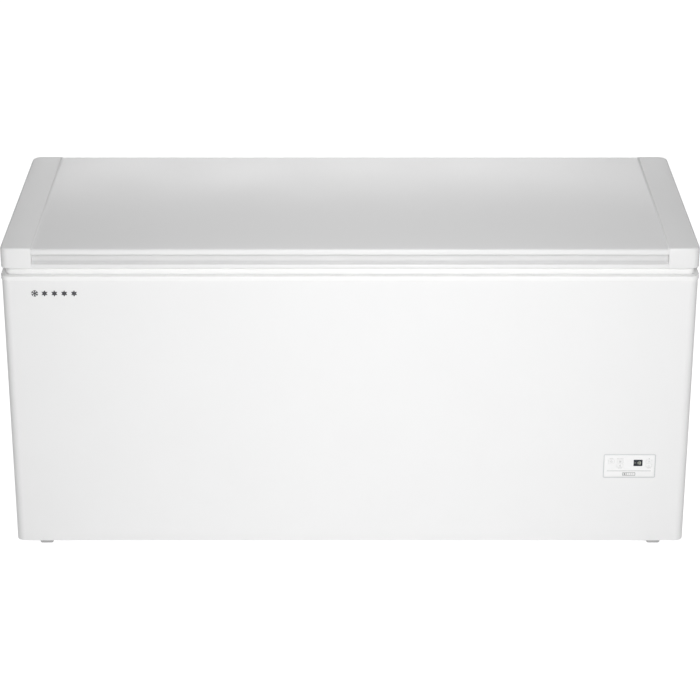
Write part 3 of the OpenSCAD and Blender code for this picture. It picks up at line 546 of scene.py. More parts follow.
def rounded(x0: float, y0: float, x1: float, y1: float, radius: float,
            steps: int = 6, run: float = 0.0) -> list[tuple[float, float]]:
    """Return the points of a rectangle with round corners, anticlockwise.

    Args:
        x0: the left side.
        y0: the front side.
        x1: the right side.
        y1: the rear side.
        radius: the corners' radius.
        steps: the steps of each corner.
        run: the longest straight step, or 0 for one step a side.

    Returns:
        The points.
    """
    corners = ((x1 - radius, y1 - radius, 0), (x0 + radius, y1 - radius, 90),
               (x0 + radius, y0 + radius, 180), (x1 - radius, y0 + radius, 270))
    points = []
    for cx, cy, start in corners:
        for i in range(steps + 1):
            turn = math.radians(start + 90 * i / steps)
            points.append((cx + radius * math.cos(turn), cy + radius * math.sin(turn)))
    if not run:
        return points
    spaced = []
    for (ax, ay), (bx, by) in zip(points, points[1:] + points[:1]):
        parts = max(1, math.ceil(math.hypot(bx - ax, by - ay) / run))
        spaced += [(ax + (bx - ax) * i / parts, ay + (by - ay) * i / parts) for i in range(parts)]
    return spaced


# ---------------------------------------------------------------- studio


@dataclass
class Studio:
    """The camera, the soft lights and the pale floor."""

    lens: float = 122.09
    pitch: float = 23.452
    back: float = 5.475
    rise: float = 2.1005
    cap_round: float = 0.004
    fill: float = 0.38
    side_shade: float = 0.6
    glow: float = 3.1
    glow_focus: float = 19.0

    def camera(self) -> None:
        """Place the camera in front of the middle of the lid's front edge."""
        low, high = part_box("lid_cap_right")
        data = bpy.data.cameras.new("camera")
        data.lens = self.lens
        data.sensor_width = 36.0
        camera = bpy.data.objects.new("camera", data)
        bpy.context.collection.objects.link(camera)
        camera.location = (0.0, low.y + self.cap_round - self.back, high.z + self.rise)
        camera.rotation_euler = (math.radians(90 - self.pitch), 0.0, 0.0)
        bpy.context.scene.camera = camera

    def lamp(self, name: str, place: tuple, target: tuple, size: tuple, power: float,
             spread: float) -> None:
        """Add a rectangular soft light aimed at a point, with its beam's spread in degrees."""
        data = bpy.data.lights.new(name, "AREA")
        data.shape = "RECTANGLE"
        data.size, data.size_y = size
        data.energy = power
        data.spread = math.radians(spread)
        lamp = bpy.data.objects.new(name, data)
        bpy.context.collection.objects.link(lamp)
        lamp.location = place
        lamp.rotation_euler = (Vector(target) - Vector(place)).to_track_quat("-Z", "Y").to_euler()

    def lights(self) -> None:
        """Set the world's light and the lamps."""
        world = bpy.data.worlds.new("studio")
        bpy.context.scene.world = world
        nodes = NodeMaker(world)
        way = nodes.make("ShaderNodeTexCoord", {}, {}, "Generated")
        side = nodes.make("ShaderNodeSeparateXYZ", {}, {"Vector": way}, "X")
        rear = nodes.make("ShaderNodeSeparateXYZ", {}, {"Vector": way}, "Y")
        rear = nodes.make("ShaderNodeMath", {"operation": "MAXIMUM"}, {0: rear, 1: 0.0})
        glow = nodes.make("ShaderNodeMath", {"operation": "POWER"}, {0: rear, 1: self.glow_focus})
        shade = self.fill * (1 - side * side * self.side_shade)
        sky = nodes.make("ShaderNodeBackground", {}, {"Strength": glow * self.glow + shade})
        nodes.make("ShaderNodeOutputWorld", {}, {"Surface": sky}, None)
        self.lamp("front_box", (0.35, -3.9, 2.3), (0.0, -0.3, 0.4), (1.6, 1.6), 35.0, 100.0)
        self.lamp("top_box", (0.0, 0.5, 3.2), (0.0, 0.0, 0.8), (1.6, 1.2), 9.0, 180.0)

    def floor(self) -> None:
        """Add the floor: a wide white sheet with a little light of its own."""
        Bench.clear()
        bpy.ops.mesh.primitive_plane_add(size=60.0, location=(0.0, 0.0, 0.0))
        sheet = bpy.context.object
        sheet.name = "floor"
        material = bpy.data.materials.new("studio_floor")
        nodes = NodeMaker(material)
        seen = nodes.make("ShaderNodeLightPath", {}, {}, "Is Camera Ray")
        nodes.finish({"Base Color": grey(0.6), "Roughness": 0.9,
                      "Emission Color": nodes.mix(seen, grey(0.3), grey(0.9)),
                      "Emission Strength": 1.0})
        sheet.data.materials.append(material)

    def build(self) -> None:
        """Build the whole studio."""
        bpy.context.scene.view_settings.view_transform = "Standard"
        self.camera()
        self.lights()
        self.floor()


# ---------------------------------------------------------------- the frame's own nodes

PLAIN = {
    "outer_shell": Stock.STEEL_WHITE, "lid_top_panel": Stock.LID_WHITE,
    "top_collar": Stock.PLASTIC_WHITE, "lid_cap_left": Stock.PLASTIC_WHITE,
    "lid_cap_right": Stock.PLASTIC_WHITE, "lid_handle": Stock.PLASTIC_WHITE,
    "lid_rear_rail": Stock.PLASTIC_WHITE, "inner_liner": Stock.LINER,
    "lid_inner_panel": Stock.LINER, "rear_panel": Stock.ZINC, "base_pan": Stock.ZINC,
    "mounting_rail": Stock.ZINC, "rear_cover": Stock.ZINC, "hinge_base_left": Stock.ZINC,
    "hinge_base_right": Stock.ZINC, "lid_bracket_left": Stock.ZINC,
    "lid_bracket_right": Stock.ZINC, "mount_bolts": Stock.FASTENER,
    "hinge_pins": Stock.FASTENER, "castor_axles": Stock.FASTENER,
    "castor_brackets": Stock.ZINC, "foam_body": Stock.STRAW_FOAM,
    "lid_foam": Stock.STRAW_FOAM, "evaporator_coil": Stock.COPPER,
    "discharge_line": Stock.COPPER, "suction_line": Stock.COPPER,
    "filter_drier": Stock.COPPER, "condenser_coil": Stock.COIL,
    "compressor": Stock.BLACK_ENAMEL, "terminal_cover": Stock.DARK_PLASTIC,
    "control_box": Stock.DARK_PLASTIC, "cord_gland": Stock.DARK_PLASTIC,
    "drain_cap": Stock.DARK_PLASTIC, "rubber_grommets": Stock.RUBBER,
    "side_grille": Stock.GRILLE, "panel_bezel": Stock.BEZEL, "panel_fascia": Stock.FASCIA,
    "key_power": Stock.FASCIA, "key_freeze": Stock.FASCIA, "key_alarm": Stock.FASCIA,
    "key_up": Stock.FASCIA, "key_down": Stock.FASCIA, "display_window": Stock.GLASS,
    "badge": Stock.BADGE, "wheel_front_left": Stock.NYLON, "wheel_front_right": Stock.NYLON,
    "wheel_rear_left": Stock.NYLON, "wheel_rear_right": Stock.NYLON,
    "lid_gasket": Stock.VINYL, "drain_tube": Stock.DRAIN_WHITE,
    "drain_spout": Stock.DRAIN_WHITE, "drain_plug": Stock.DRAIN_WHITE,
    "lamp_housing": Stock.PLASTIC_WHITE, "lamp_lens": Stock.LENS,
    "basket_left": Stock.WIRE, "basket_middle": Stock.WIRE, "basket_right": Stock.WIRE,
}


def dress_frame() -> None:
    """Give every CAD node its finish."""
    for name, stock in PLAIN.items():
        node = bpy.data.objects[name]
        dress(node, stock)


# ---------------------------------------------------------------- shared shapes


class Face(Enum):
    """The way that a fastener or a mark faces."""

    REAR = (-math.pi / 2, 0.0, 0.0)
    RIGHT = (0.0, math.pi / 2, 0.0)


@dataclass
class Screw:
    """A cross-recessed pan-head screw, modelled once and copied."""

    radius: float = 4.0 * MM
    height: float = 2.2 * MM
    model: bpy.types.Object | None = None

    def build(self) -> bpy.types.Object:
        """Model the head, round its rim and cut the cross."""
        head = Bench.disc("screw_head", Vector((0, 0, self.height / 2)), self.radius, self.height,
                          "Z", 28)
        Bench.bevel(head, self.height * 0.55, 4)
        arm, web = self.radius * 0.62, self.radius * 0.13
        cuts = [Bench.block("cut", Vector((-a, -b, self.height * 0.45)), Vector((a, b, self.height * 1.5)))
                for a, b in ((arm, web), (web, arm))]
        for cut in cuts:
            Bench.only(head)
            step = head.modifiers.new("cross", "BOOLEAN")
            step.operation, step.object, step.solver = "DIFFERENCE", cut, "EXACT"
            bpy.ops.object.modifier_apply(modifier="cross")
            bpy.data.objects.remove(cut, do_unlink=True)
        Bench.smooth(head, 28)
        self.model = head
        return head

    def place(self, name: str, spots: Sequence[Vector], face: Face) -> bpy.types.Object:
        """Copy the screw to each spot and join the copies.

        Args:
            name: the joined piece's name.
            spots: where each head sits.
            face: the way the heads face.

        Returns:
            The joined screws.
        """
        source = self.model or self.build()
        copies = []
        for spot in spots:
            copy = bpy.data.objects.new(name, source.data.copy())
            bpy.context.collection.objects.link(copy)
            copy.rotation_euler, copy.location = face.value, spot
            copies.append(copy)
            Bench.only(copy)
            bpy.ops.object.transform_apply(location=True, rotation=True, scale=True)
        return Bench.join(name, copies)

    def put_away(self) -> None:
        """Delete the model when every copy is made."""
        if self.model is not None:
            bpy.data.objects.remove(self.model, do_unlink=True)
            self.model = None


def bent(route: Sequence[Vector], radius: float, steps: int = 5) -> list[Vector]:
    """Return a route's points with each inner corner turned into a curve."""
    points = [route[0]]
    for before, corner, after in zip(route, route[1:], route[2:]):
        u, v = (before - corner).normalized() * radius, (after - corner).normalized() * radius
        for k in range(steps + 1):
            t = k / steps
            points.append(corner + u * (1 - t) ** 2 + v * t ** 2)
    points.append(route[-1])
    return points


def wire(name: str, points: Sequence[Vector], radius: float, closed: bool = False,
         sides: int = 10) -> bpy.types.Object:
    """Sweep a round wire along points that lie in one plane.

    Args:
        name: the object's name.
        points: the wire's middle line.
        radius: the wire's radius.
        closed: whether it runs back to its first point.
        sides: the number of its sides.

    Returns:
        The wire as a mesh.
    """
    count = len(points)
    first = (points[1] - points[0]).normalized()
    across = next(((p - points[0]).cross(first) for p in points[2:]
                   if (p - points[0]).cross(first).length > 1e-9), None)
    if across is None:
        across = first.orthogonal()
    across.normalize()
    rings = []
    for i, point in enumerate(points):
        ahead = points[(i + 1) % count] if closed or i < count - 1 else point
        behind = points[i - 1] if closed or i > 0 else point
        side = (ahead - behind).normalized().cross(across)
        rings.append([point + (across * math.cos(a) + side * math.sin(a)) * radius
                      for a in (math.tau * k / sides for k in range(sides))])
    piece = Bench.outline(name, rings, closed)
    Bench.smooth(piece, 50)
    return piece


# ---------------------------------------------------------------- cabinet


@dataclass
class Cabinet:
    """The sheet metal body, its collar and liner, and the panels at the rear and side."""

    screw: Screw
    bead_width: float = 14 * MM
    bead_height: float = 1.4 * MM
    beads: int = 9

    def skins(self) -> None:
        """Refine the shell, the collar, the liner and the pans."""
        hand_over(Bench.refined("outer_shell", "cabinet_skin", 0.0), "cabinet",
                  Stock.STEEL_WHITE, ["outer_shell"])
        hand_over(Bench.refined("top_collar", "collar_moulding", 1.6 * MM, 3), "cabinet",
                  Stock.PLASTIC_WHITE, ["top_collar"])
        hand_over(Bench.refined("inner_liner", "liner_tub", 0.5 * MM, 2), "cabinet",
                  Stock.LINER, ["inner_liner"])
        hand_over(Bench.refined("base_pan", "base_sheet", 0.3 * MM, 2), "cabinet",
                  Stock.ZINC, ["base_pan"])
        hand_over(Bench.refined("side_grille", "side_louvre", 0.5 * MM, 2), "cabinet",
                  Stock.GRILLE, ["side_grille"])
        hand_over(Bench.refined("rear_cover", "rear_louvre", 0.4 * MM, 2), "cabinet",
                  Stock.ZINC, ["rear_cover"])

    def rear(self) -> None:
        """Press upright beads into the rear sheet."""
        low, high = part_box("rear_panel")
        cover_low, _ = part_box("rear_cover")
        span = cover_low.x - low.x
        parts = [Bench.refined("rear_panel", "rear_sheet", 0.0)]
        for i in range(self.beads):
            x = low.x + span * (i + 0.5) / self.beads
            bead = Bench.block("bead", Vector((x - self.bead_width / 2, high.y - 0.2 * MM, low.z + 0.05)),
                               Vector((x + self.bead_width / 2, high.y + self.bead_height, high.z - 0.13)))
            Bench.bevel(bead, self.bead_height * 0.9, 4)
            Bench.smooth(bead, 60)
            parts.append(bead)
        sheet = Bench.join("rear_sheet", parts)
        hand_over(sheet, "cabinet", Stock.ZINC, ["rear_panel"])

    def fasteners(self) -> None:
        """Screw the rear sheet, the rear cover and the side louvre on."""
        low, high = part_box("rear_panel")
        inset = 9 * MM
        columns = 7
        rear = [Vector((low.x + inset + (high.x - low.x - 2 * inset) * i / (columns - 1), high.y, z))
                for i in range(columns) for z in (low.z + inset, high.z - inset)
                if not (z < 0.1 and i == columns - 1)]
        hand_over(self.screw.place("rear_sheet_screws", rear, Face.REAR), "cabinet",
                  Stock.FASTENER)
        low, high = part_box("rear_cover")
        inset = 7 * MM
        cover = [Vector((x, high.y, z)) for x in (low.x + inset, high.x - inset)
                 for z in (low.z + inset, (low.z + high.z) / 2, high.z - inset)]
        hand_over(self.screw.place("rear_cover_screws", cover, Face.REAR), "cabinet",
                  Stock.FASTENER)
        low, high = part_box("side_grille")
        side = [Vector((high.x, y, z)) for y in (low.y + inset, high.y - inset)
                for z in (low.z + inset, high.z - inset)]
        hand_over(self.screw.place("side_louvre_screws", side, Face.RIGHT), "cabinet",
                  Stock.FASTENER)

    def build(self) -> None:
        """Build the whole cabinet."""
        self.skins()
        self.rear()
        self.fasteners()


@dataclass
class Badge:
    """The raised cold mark and stars at the upper left."""

    edge: float = 0.25 * MM

    def build(self) -> None:
        """Round the marks' edges."""
        hand_over(Bench.refined("badge", "badge_marks", self.edge, 2), "cabinet",
                  Stock.BADGE, ["badge"])


# ---------------------------------------------------------------- lid


@dataclass
class Lid:
    """The lid: sheet panel, end caps, front handle, rear rail, inner panel and gasket."""

    screw: Screw
    seam: float = 1.5 * MM
    gasket_steps: int = 8
    gasket_corner: float = 15 * MM
    gasket_run: float = 60 * MM
    grip_from: float = 16 * MM
    grip_to: float = 21 * MM
    grip_facing: float = 0.5

    def caps(self) -> None:
        """Refine the end caps, the handle and the rear rail."""
        for side in ("left", "right"):
            hand_over(Bench.refined(f"lid_cap_{side}", f"end_cap_{side}", 0.9 * MM, 3, 40), "lid",
                      Stock.CAP_WHITE, [f"lid_cap_{side}"])
        handle = hand_over(Bench.refined("lid_handle", "front_handle", 1.2 * MM, 3, 40), "lid",
                           Stock.CAP_WHITE, ["lid_handle"])
        self.shade_grip_wall(handle)
        hand_over(Bench.refined("lid_rear_rail", "rear_rail", 1.5 * MM, 3), "lid",
                  Stock.PLASTIC_WHITE, ["lid_rear_rail"])

    def shade_grip_wall(self, handle: bpy.types.Object) -> None:
        """Paint shade onto the upright back wall of the grip groove with a darker, matt second material.

        Args:
            handle: the refined front handle.
        """
        low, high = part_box("lid_handle")
        # The faces of the groove's upright back wall get the darker grey: painted shade of the recess.
        handle.data.materials.append(Stock.GRIP_PAINTED_SHADE.value.make())
        for face in handle.data.polygons:
            deep = low.y + self.grip_from < face.center.y < low.y + self.grip_to
            if deep and face.normal.y < -self.grip_facing and face.center.z < high.z:
                face.material_index = 1

    def panel(self) -> None:
        """Make the sheet panel with its edges folded down at the rear."""
        low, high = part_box("lid_top_panel")
        sheet = Bench.block("lid_sheet", low, high)
        Bench.bevel(sheet, 0.5 * MM, 3)
        fold = Bench.block("fold", Vector((low.x, high.y - 0.2 * MM, high.z - 16 * MM)),
                           Vector((high.x, high.y + 0.9 * MM, high.z)))
        Bench.bevel(fold, 0.5 * MM, 3)
        sheet = Bench.join("lid_sheet", [sheet, fold])
        Bench.smooth(sheet)
        hand_over(sheet, "lid", Stock.LID_WHITE, ["lid_top_panel"])
        # Round beads along the caps' inner edges: real rounded geometry, in a whiter finish that paints the
        # highlight of the seam line.
        seams = [wire("seam", [Vector((x, low.y + i * (high.y - low.y) / 8, high.z)) for i in range(9)],
                      self.seam) for x in (low.x + self.seam, high.x - self.seam)]
        hand_over(Bench.join("lid_seams", seams), "lid", Stock.SEAM_PAINTED_HIGHLIGHT)

    def inside(self) -> None:
        """Refine the inner panel and press a shallow frame into its plug."""
        panel = Bench.refined("lid_inner_panel", "lid_inner_sheet", 1.0 * MM, 3)
        low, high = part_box("lid_inner_panel")
        lamp_low, lamp_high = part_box("lamp_housing")
        parts = [panel]
        rim = 60 * MM
        plug_low = Vector((-0.745, low.y + 0.14, low.z))
        plug_high = Vector((0.745, lamp_low.y - 0.03, low.z))
        for x0, x1 in ((plug_low.x, -rim / 2), (rim / 2, plug_high.x)):
            frame = Bench.block("press", Vector((x0, plug_low.y, low.z - 2.5 * MM)),
                                Vector((x1, plug_high.y, low.z + 0.3 * MM)))
            Bench.bevel(frame, 2.4 * MM, 4)
            Bench.smooth(frame, 60)
            parts.append(frame)
        hand_over(Bench.join("lid_inner_sheet", parts), "lid", Stock.LINER,
                  ["lid_inner_panel"])

    def gasket(self) -> None:
        """Sweep the gasket's folded section round the lid."""
        low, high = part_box("lid_gasket")
        tall = high.z - low.z
        wide = 14.0
        side = ((3.2, 0.0), (1.0, 0.05), (0.2, 0.11), (0.0, 0.2), (0.0, 0.62), (0.5, 0.67), (1.8, 0.7),
                (0.9, 0.75), (0.6, 0.8), (0.6, 1.0))
        section = side + tuple((wide - inset, share) for inset, share in reversed(side))
        rings = []
        for inset, share in section:
            d = inset * MM
            outline = rounded(low.x + d, low.y + d, high.x - d, high.y - d, self.gasket_corner - d,
                              self.gasket_steps, self.gasket_run)
            rings.append([(x, y, low.z + share * tall) for x, y in outline])
        count = len(rings[0])
        rings = [ring[:count] for ring in rings]
        piece = Bench.outline("gasket_bellows", rings, True)
        Bench.smooth(piece, 40)
        hand_over(piece, "lid", Stock.VINYL, ["lid_gasket"])

    def lamp(self) -> None:
        """Refine the lamp's housing and rib its lens."""
        hand_over(Bench.refined("lamp_housing", "lamp_body", 0.6 * MM, 3), "lid",
                  Stock.PLASTIC_WHITE, ["lamp_housing"])
        low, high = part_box("lamp_lens")
        parts = [Bench.refined("lamp_lens", "lamp_cover", 0.5 * MM, 2)]
        ribs = 13
        for i in range(1, ribs):
            x = low.x + (high.x - low.x) * i / ribs
            rib = Bench.block("rib", Vector((x - 1.4 * MM, low.y + 2 * MM, low.z - 0.6 * MM)),
                              Vector((x + 1.4 * MM, high.y - 2 * MM, low.z + 0.4 * MM)))
            Bench.bevel(rib, 0.55 * MM, 3)
            parts.append(rib)
        lens = Bench.join("lamp_cover", parts)
        Bench.smooth(lens, 60)
        hand_over(lens, "lid", Stock.LENS, ["lamp_lens"])

    def build(self) -> None:
        """Build the whole lid."""
        self.caps()
        self.panel()
        self.inside()
        self.gasket()
        self.lamp()


# ---------------------------------------------------------------- control panel


@dataclass
class Marks:
    """Thin printed marks drawn as strokes on a front-facing plane."""

    plane: float
    width: float
    proud: float = 0.06 * MM
    parts: list[bpy.types.Object] = field(default_factory=list)

    def stroke(self, x0: float, z0: float, x1: float, z1: float) -> None:
        """Add a bar from one point to another."""
        wide = self.width
        length = math.hypot(x1 - x0, z1 - z0) + wide * 0.5
        bar = Bench.block("stroke", Vector((-length / 2, -self.proud, -wide / 2)),
                          Vector((length / 2, self.proud, wide / 2)))
        bar.rotation_euler = (0.0, -math.atan2(z1 - z0, x1 - x0), 0.0)
        bar.location = ((x0 + x1) / 2, self.plane, (z0 + z1) / 2)
        Bench.only(bar)
        bpy.ops.object.transform_apply(location=True, rotation=True, scale=True)
        self.parts.append(bar)

    def dot(self, x: float, z: float, radius: float) -> None:
        """Add a round dot."""
        self.parts.append(Bench.disc("dot", Vector((x, self.plane, z)), radius, self.proud * 2,
                                     "Y", 20))

    def arc(self, x: float, z: float, radius: float, start: float, end: float,
            steps: int = 14) -> None:
        """Add an arc as a row of short strokes."""
        turns = [math.radians(start + (end - start) * i / steps) for i in range(steps + 1)]
        for a, b in zip(turns, turns[1:]):
            self.stroke(x + radius * math.cos(a), z + radius * math.sin(a),
                        x + radius * math.cos(b), z + radius * math.sin(b))

    def chevron(self, x: float, z: float, size: float, way: int) -> None:
        """Add a chevron that points up (1) or down (-1)."""
        self.stroke(x - size, z - way * size / 2, x, z + way * size / 2)
        self.stroke(x, z + way * size / 2, x + size, z - way * size / 2)

    def snowflake(self, x: float, z: float, radius: float) -> None:
        """Add a six-armed snowflake with small branches."""
        for i in range(6):
            turn = math.radians(30 + 60 * i)
            self.stroke(x, z, x + radius * math.cos(turn), z + radius * math.sin(turn))
            root_x, root_z = x + 0.6 * radius * math.cos(turn), z + 0.6 * radius * math.sin(turn)
            for lean in (-0.8, 0.8):
                self.stroke(root_x, root_z, root_x + 0.34 * radius * math.cos(turn + lean),
                            root_z + 0.34 * radius * math.sin(turn + lean))

    def box(self, x0: float, z0: float, x1: float, z1: float) -> None:
        """Add a rectangle's outline."""
        for a, b, c, d in ((x0, z0, x1, z0), (x1, z0, x1, z1), (x1, z1, x0, z1), (x0, z1, x0, z0)):
            self.stroke(a, b, c, d)

    def done(self, name: str, body: str, stock: Stock, slot: str) -> None:
        """Join the marks into one piece that rides on a body."""
        hand_over(Bench.join(name, self.parts), body, stock)
        self.parts = []


@dataclass
class ControlPanel:
    """The bezel, the film with its marks, the five keys and the display."""

    line: tuple[float, float, float] = (-57.2 * MM, 55.6 * MM, -14.1 * MM)
    legend: tuple[float, float, float, float] = (-16.4 * MM, -26.8 * MM, 15.3 * MM, -19.3 * MM)
    legend_split: float = -7.0 * MM
    hint_gap: float = 3.4 * MM
    hint_row: float = 20.4 * MM
    digit_size: tuple[float, float] = (3.9 * MM, 7.4 * MM)

    def frame(self) -> None:
        """Refine the bezel, the film, the window and the keys."""
        hand_over(Bench.refined("panel_bezel", "bezel_ring", 0.35 * MM, 2), "cabinet",
                  Stock.BEZEL, ["panel_bezel"])
        hand_over(Bench.refined("panel_fascia", "fascia_sheet", 0.15 * MM, 2), "cabinet",
                  Stock.FASCIA, ["panel_fascia"])
        hand_over(Bench.refined("display_window", "window_pane", 0.3 * MM, 2), "cabinet",
                  Stock.GLASS, ["display_window"])
        for key in ("power", "freeze", "alarm", "up", "down"):
            hand_over(Bench.refined(f"key_{key}", f"key_cap_{key}", 0.4 * MM, 3), f"key_{key}",
                      Stock.FASCIA, [f"key_{key}"])

    def marks(self, node: str, width: float) -> tuple[Marks, float, float]:
        """Return marks on a node's front face and the face's middle."""
        low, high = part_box(node)
        return Marks(low.y, width), (low.x + high.x) / 2, (low.z + high.z) / 2

    def key_marks(self) -> None:
        """Draw each key's own sign, which moves with the key."""
        thin = 0.5 * MM
        marks, x, z = self.marks("key_power", thin)
        radius = 2.5 * MM
        marks.arc(x, z, radius, 120, 420)
        marks.stroke(x, z + 0.4 * MM, x, z + radius + 0.6 * MM)
        marks.done("mark_power", "key_power", Stock.FAINT, "badge_grey")
        marks, x, z = self.marks("key_freeze", thin)
        marks.snowflake(x, z, 3.2 * MM)
        marks.done("mark_freeze", "key_freeze", Stock.FAINT, "badge_grey")
        marks, x, z = self.marks("key_alarm", thin)
        size = 3.1 * MM
        tips = [(x + size * math.cos(a), z - 0.6 * MM + size * math.sin(a))
                for a in (math.radians(d) for d in (90, 210, 330, 450))]
        for (x0, z0), (x1, z1) in zip(tips, tips[1:]):
            marks.stroke(x0, z0, x1, z1)
        marks.stroke(x, z - 0.4 * MM, x, z + 0.9 * MM)
        marks.done("mark_alarm", "key_alarm", Stock.FAINT, "badge_grey")
        for key, way in (("up", 1), ("down", -1)):
            marks, x, z = self.marks(f"key_{key}", thin)
            marks.chevron(x, z, 2.6 * MM, way)
            marks.done(f"mark_{key}", f"key_{key}", Stock.FAINT, "badge_grey")

    def hints(self) -> None:
        """Draw a row of short bars or a dot by each key."""
        marks, _, z = self.marks("panel_fascia", 1.0 * MM)
        for key, bars, above in (("power", 3, True), ("freeze", 5, True), ("alarm", 3, False),
                                 ("up", 0, True), ("down", 3, False)):
            low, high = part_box(f"key_{key}")
            x = (low.x + high.x) / 2
            level = z + self.hint_row if above else low.z - 2.0 * MM
            for i in range(bars):
                middle = x + (i - (bars - 1) / 2) * self.hint_gap
                marks.stroke(middle - 1.1 * MM, level, middle + 1.1 * MM, level)
            if not bars:
                marks.dot(x, level, 1.2 * MM)
        marks.done("film_hints", "cabinet", Stock.FAINT, "badge_grey")

    def film_marks(self) -> None:
        """Draw the dividing line and the framed star legend."""
        marks, x, z = self.marks("panel_fascia", 0.9 * MM)
        left, right, level = self.line
        marks.stroke(x + left, z + level, x + right, z + level)
        marks.done("film_line", "cabinet", Stock.INK, "badge_grey")
        marks, x, z = self.marks("panel_fascia", 1.3 * MM)
        x0, z0, x1, z1 = self.legend
        marks.box(x + x0, z + z0, x + x1, z + z1)
        split = x + self.legend_split
        marks.stroke(split, z + z0, split, z + z1)
        middle = z + (z0 + z1) / 2
        tall = z1 - z0
        marks.dot((x + x0 + split) / 2, middle, tall * 0.3)
        pitch = (x + x1 - split) / 4
        for i in range(3):
            marks.dot(split + (i + 1) * pitch, middle, tall * 0.13)
        marks.done("film_marks", "cabinet", Stock.INK, "badge_grey")

    def digits(self) -> None:
        """Light the display: minus eighteen, a freezer's usual setting."""
        marks, x, z = self.marks("display_window", 0.95 * MM)
        wide, tall = self.digit_size
        gap = 0.75 * MM
        level = {"a": tall / 2, "g": 0.0, "d": -tall / 2}
        lit = {"-": "g", "1": "bc", "8": "abcdefg"}
        for sign, shift in (("-", -7.2 * MM), ("1", -1.9 * MM), ("8", 4.6 * MM)):
            left, right = x + shift - wide / 2, x + shift + wide / 2
            for segment in lit[sign]:
                if segment in level:
                    marks.stroke(left + gap, z + level[segment], right - gap, z + level[segment])
                else:
                    side = right if segment in "bc" else left
                    half = 1 if segment in "bf" else -1
                    marks.stroke(side, z + half * gap, side, z + half * (tall / 2 - gap))
        marks.done("display_digits", "cabinet", Stock.DIGIT, "display_glass")

    def build(self) -> None:
        """Build the whole panel."""
        self.frame()
        self.key_marks()
        self.hints()
        self.film_marks()
        self.digits()


# ---------------------------------------------------------------- castors, baskets, drain


@dataclass
class Castors:
    """Four nylon rollers in pressed brackets."""

    spokes: int = 6
    hub: float = 8.5 * MM
    rim: float = 6.5 * MM
    tread: float = 0.6 * MM

    def wheel(self, place: str) -> None:
        """Refine one roller and add the spokes of its hub at both ends."""
        node = f"wheel_{place}"
        low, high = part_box(node)
        middle = (low + high) / 2
        radius = (high.z - low.z) / 2
        parts = [Bench.refined(node, f"castor_{place}", self.tread, 3)]
        for i in range(self.spokes):
            spoke = Bench.block("spoke", Vector((low.x + 1.2 * MM, -1.2 * MM, self.hub - 1.0 * MM)),
                                Vector((high.x - 1.2 * MM, 1.2 * MM, radius - self.rim)))
            Bench.bevel(spoke, 0.5 * MM, 2)
            spoke.rotation_euler = (math.tau * i / self.spokes, 0.0, 0.0)
            spoke.location = (0.0, middle.y, middle.z)
            Bench.only(spoke)
            bpy.ops.object.transform_apply(location=True, rotation=True, scale=True)
            parts.append(spoke)
        wheel = Bench.join(f"castor_{place}", parts)
        Bench.smooth(wheel, 40)
        hand_over(wheel, node, Stock.NYLON, [node])

    def build(self) -> None:
        """Build the rollers and refine the brackets and axles."""
        for place in ("front_left", "front_right", "rear_left", "rear_right"):
            self.wheel(place)
        hand_over(Bench.refined("castor_brackets", "castor_forks", 0.5 * MM, 2), "cabinet",
                  Stock.ZINC, ["castor_brackets"])
        hand_over(Bench.refined("castor_axles", "castor_pins", 0.6 * MM, 2), "cabinet",
                  Stock.FASTENER, ["castor_axles"])


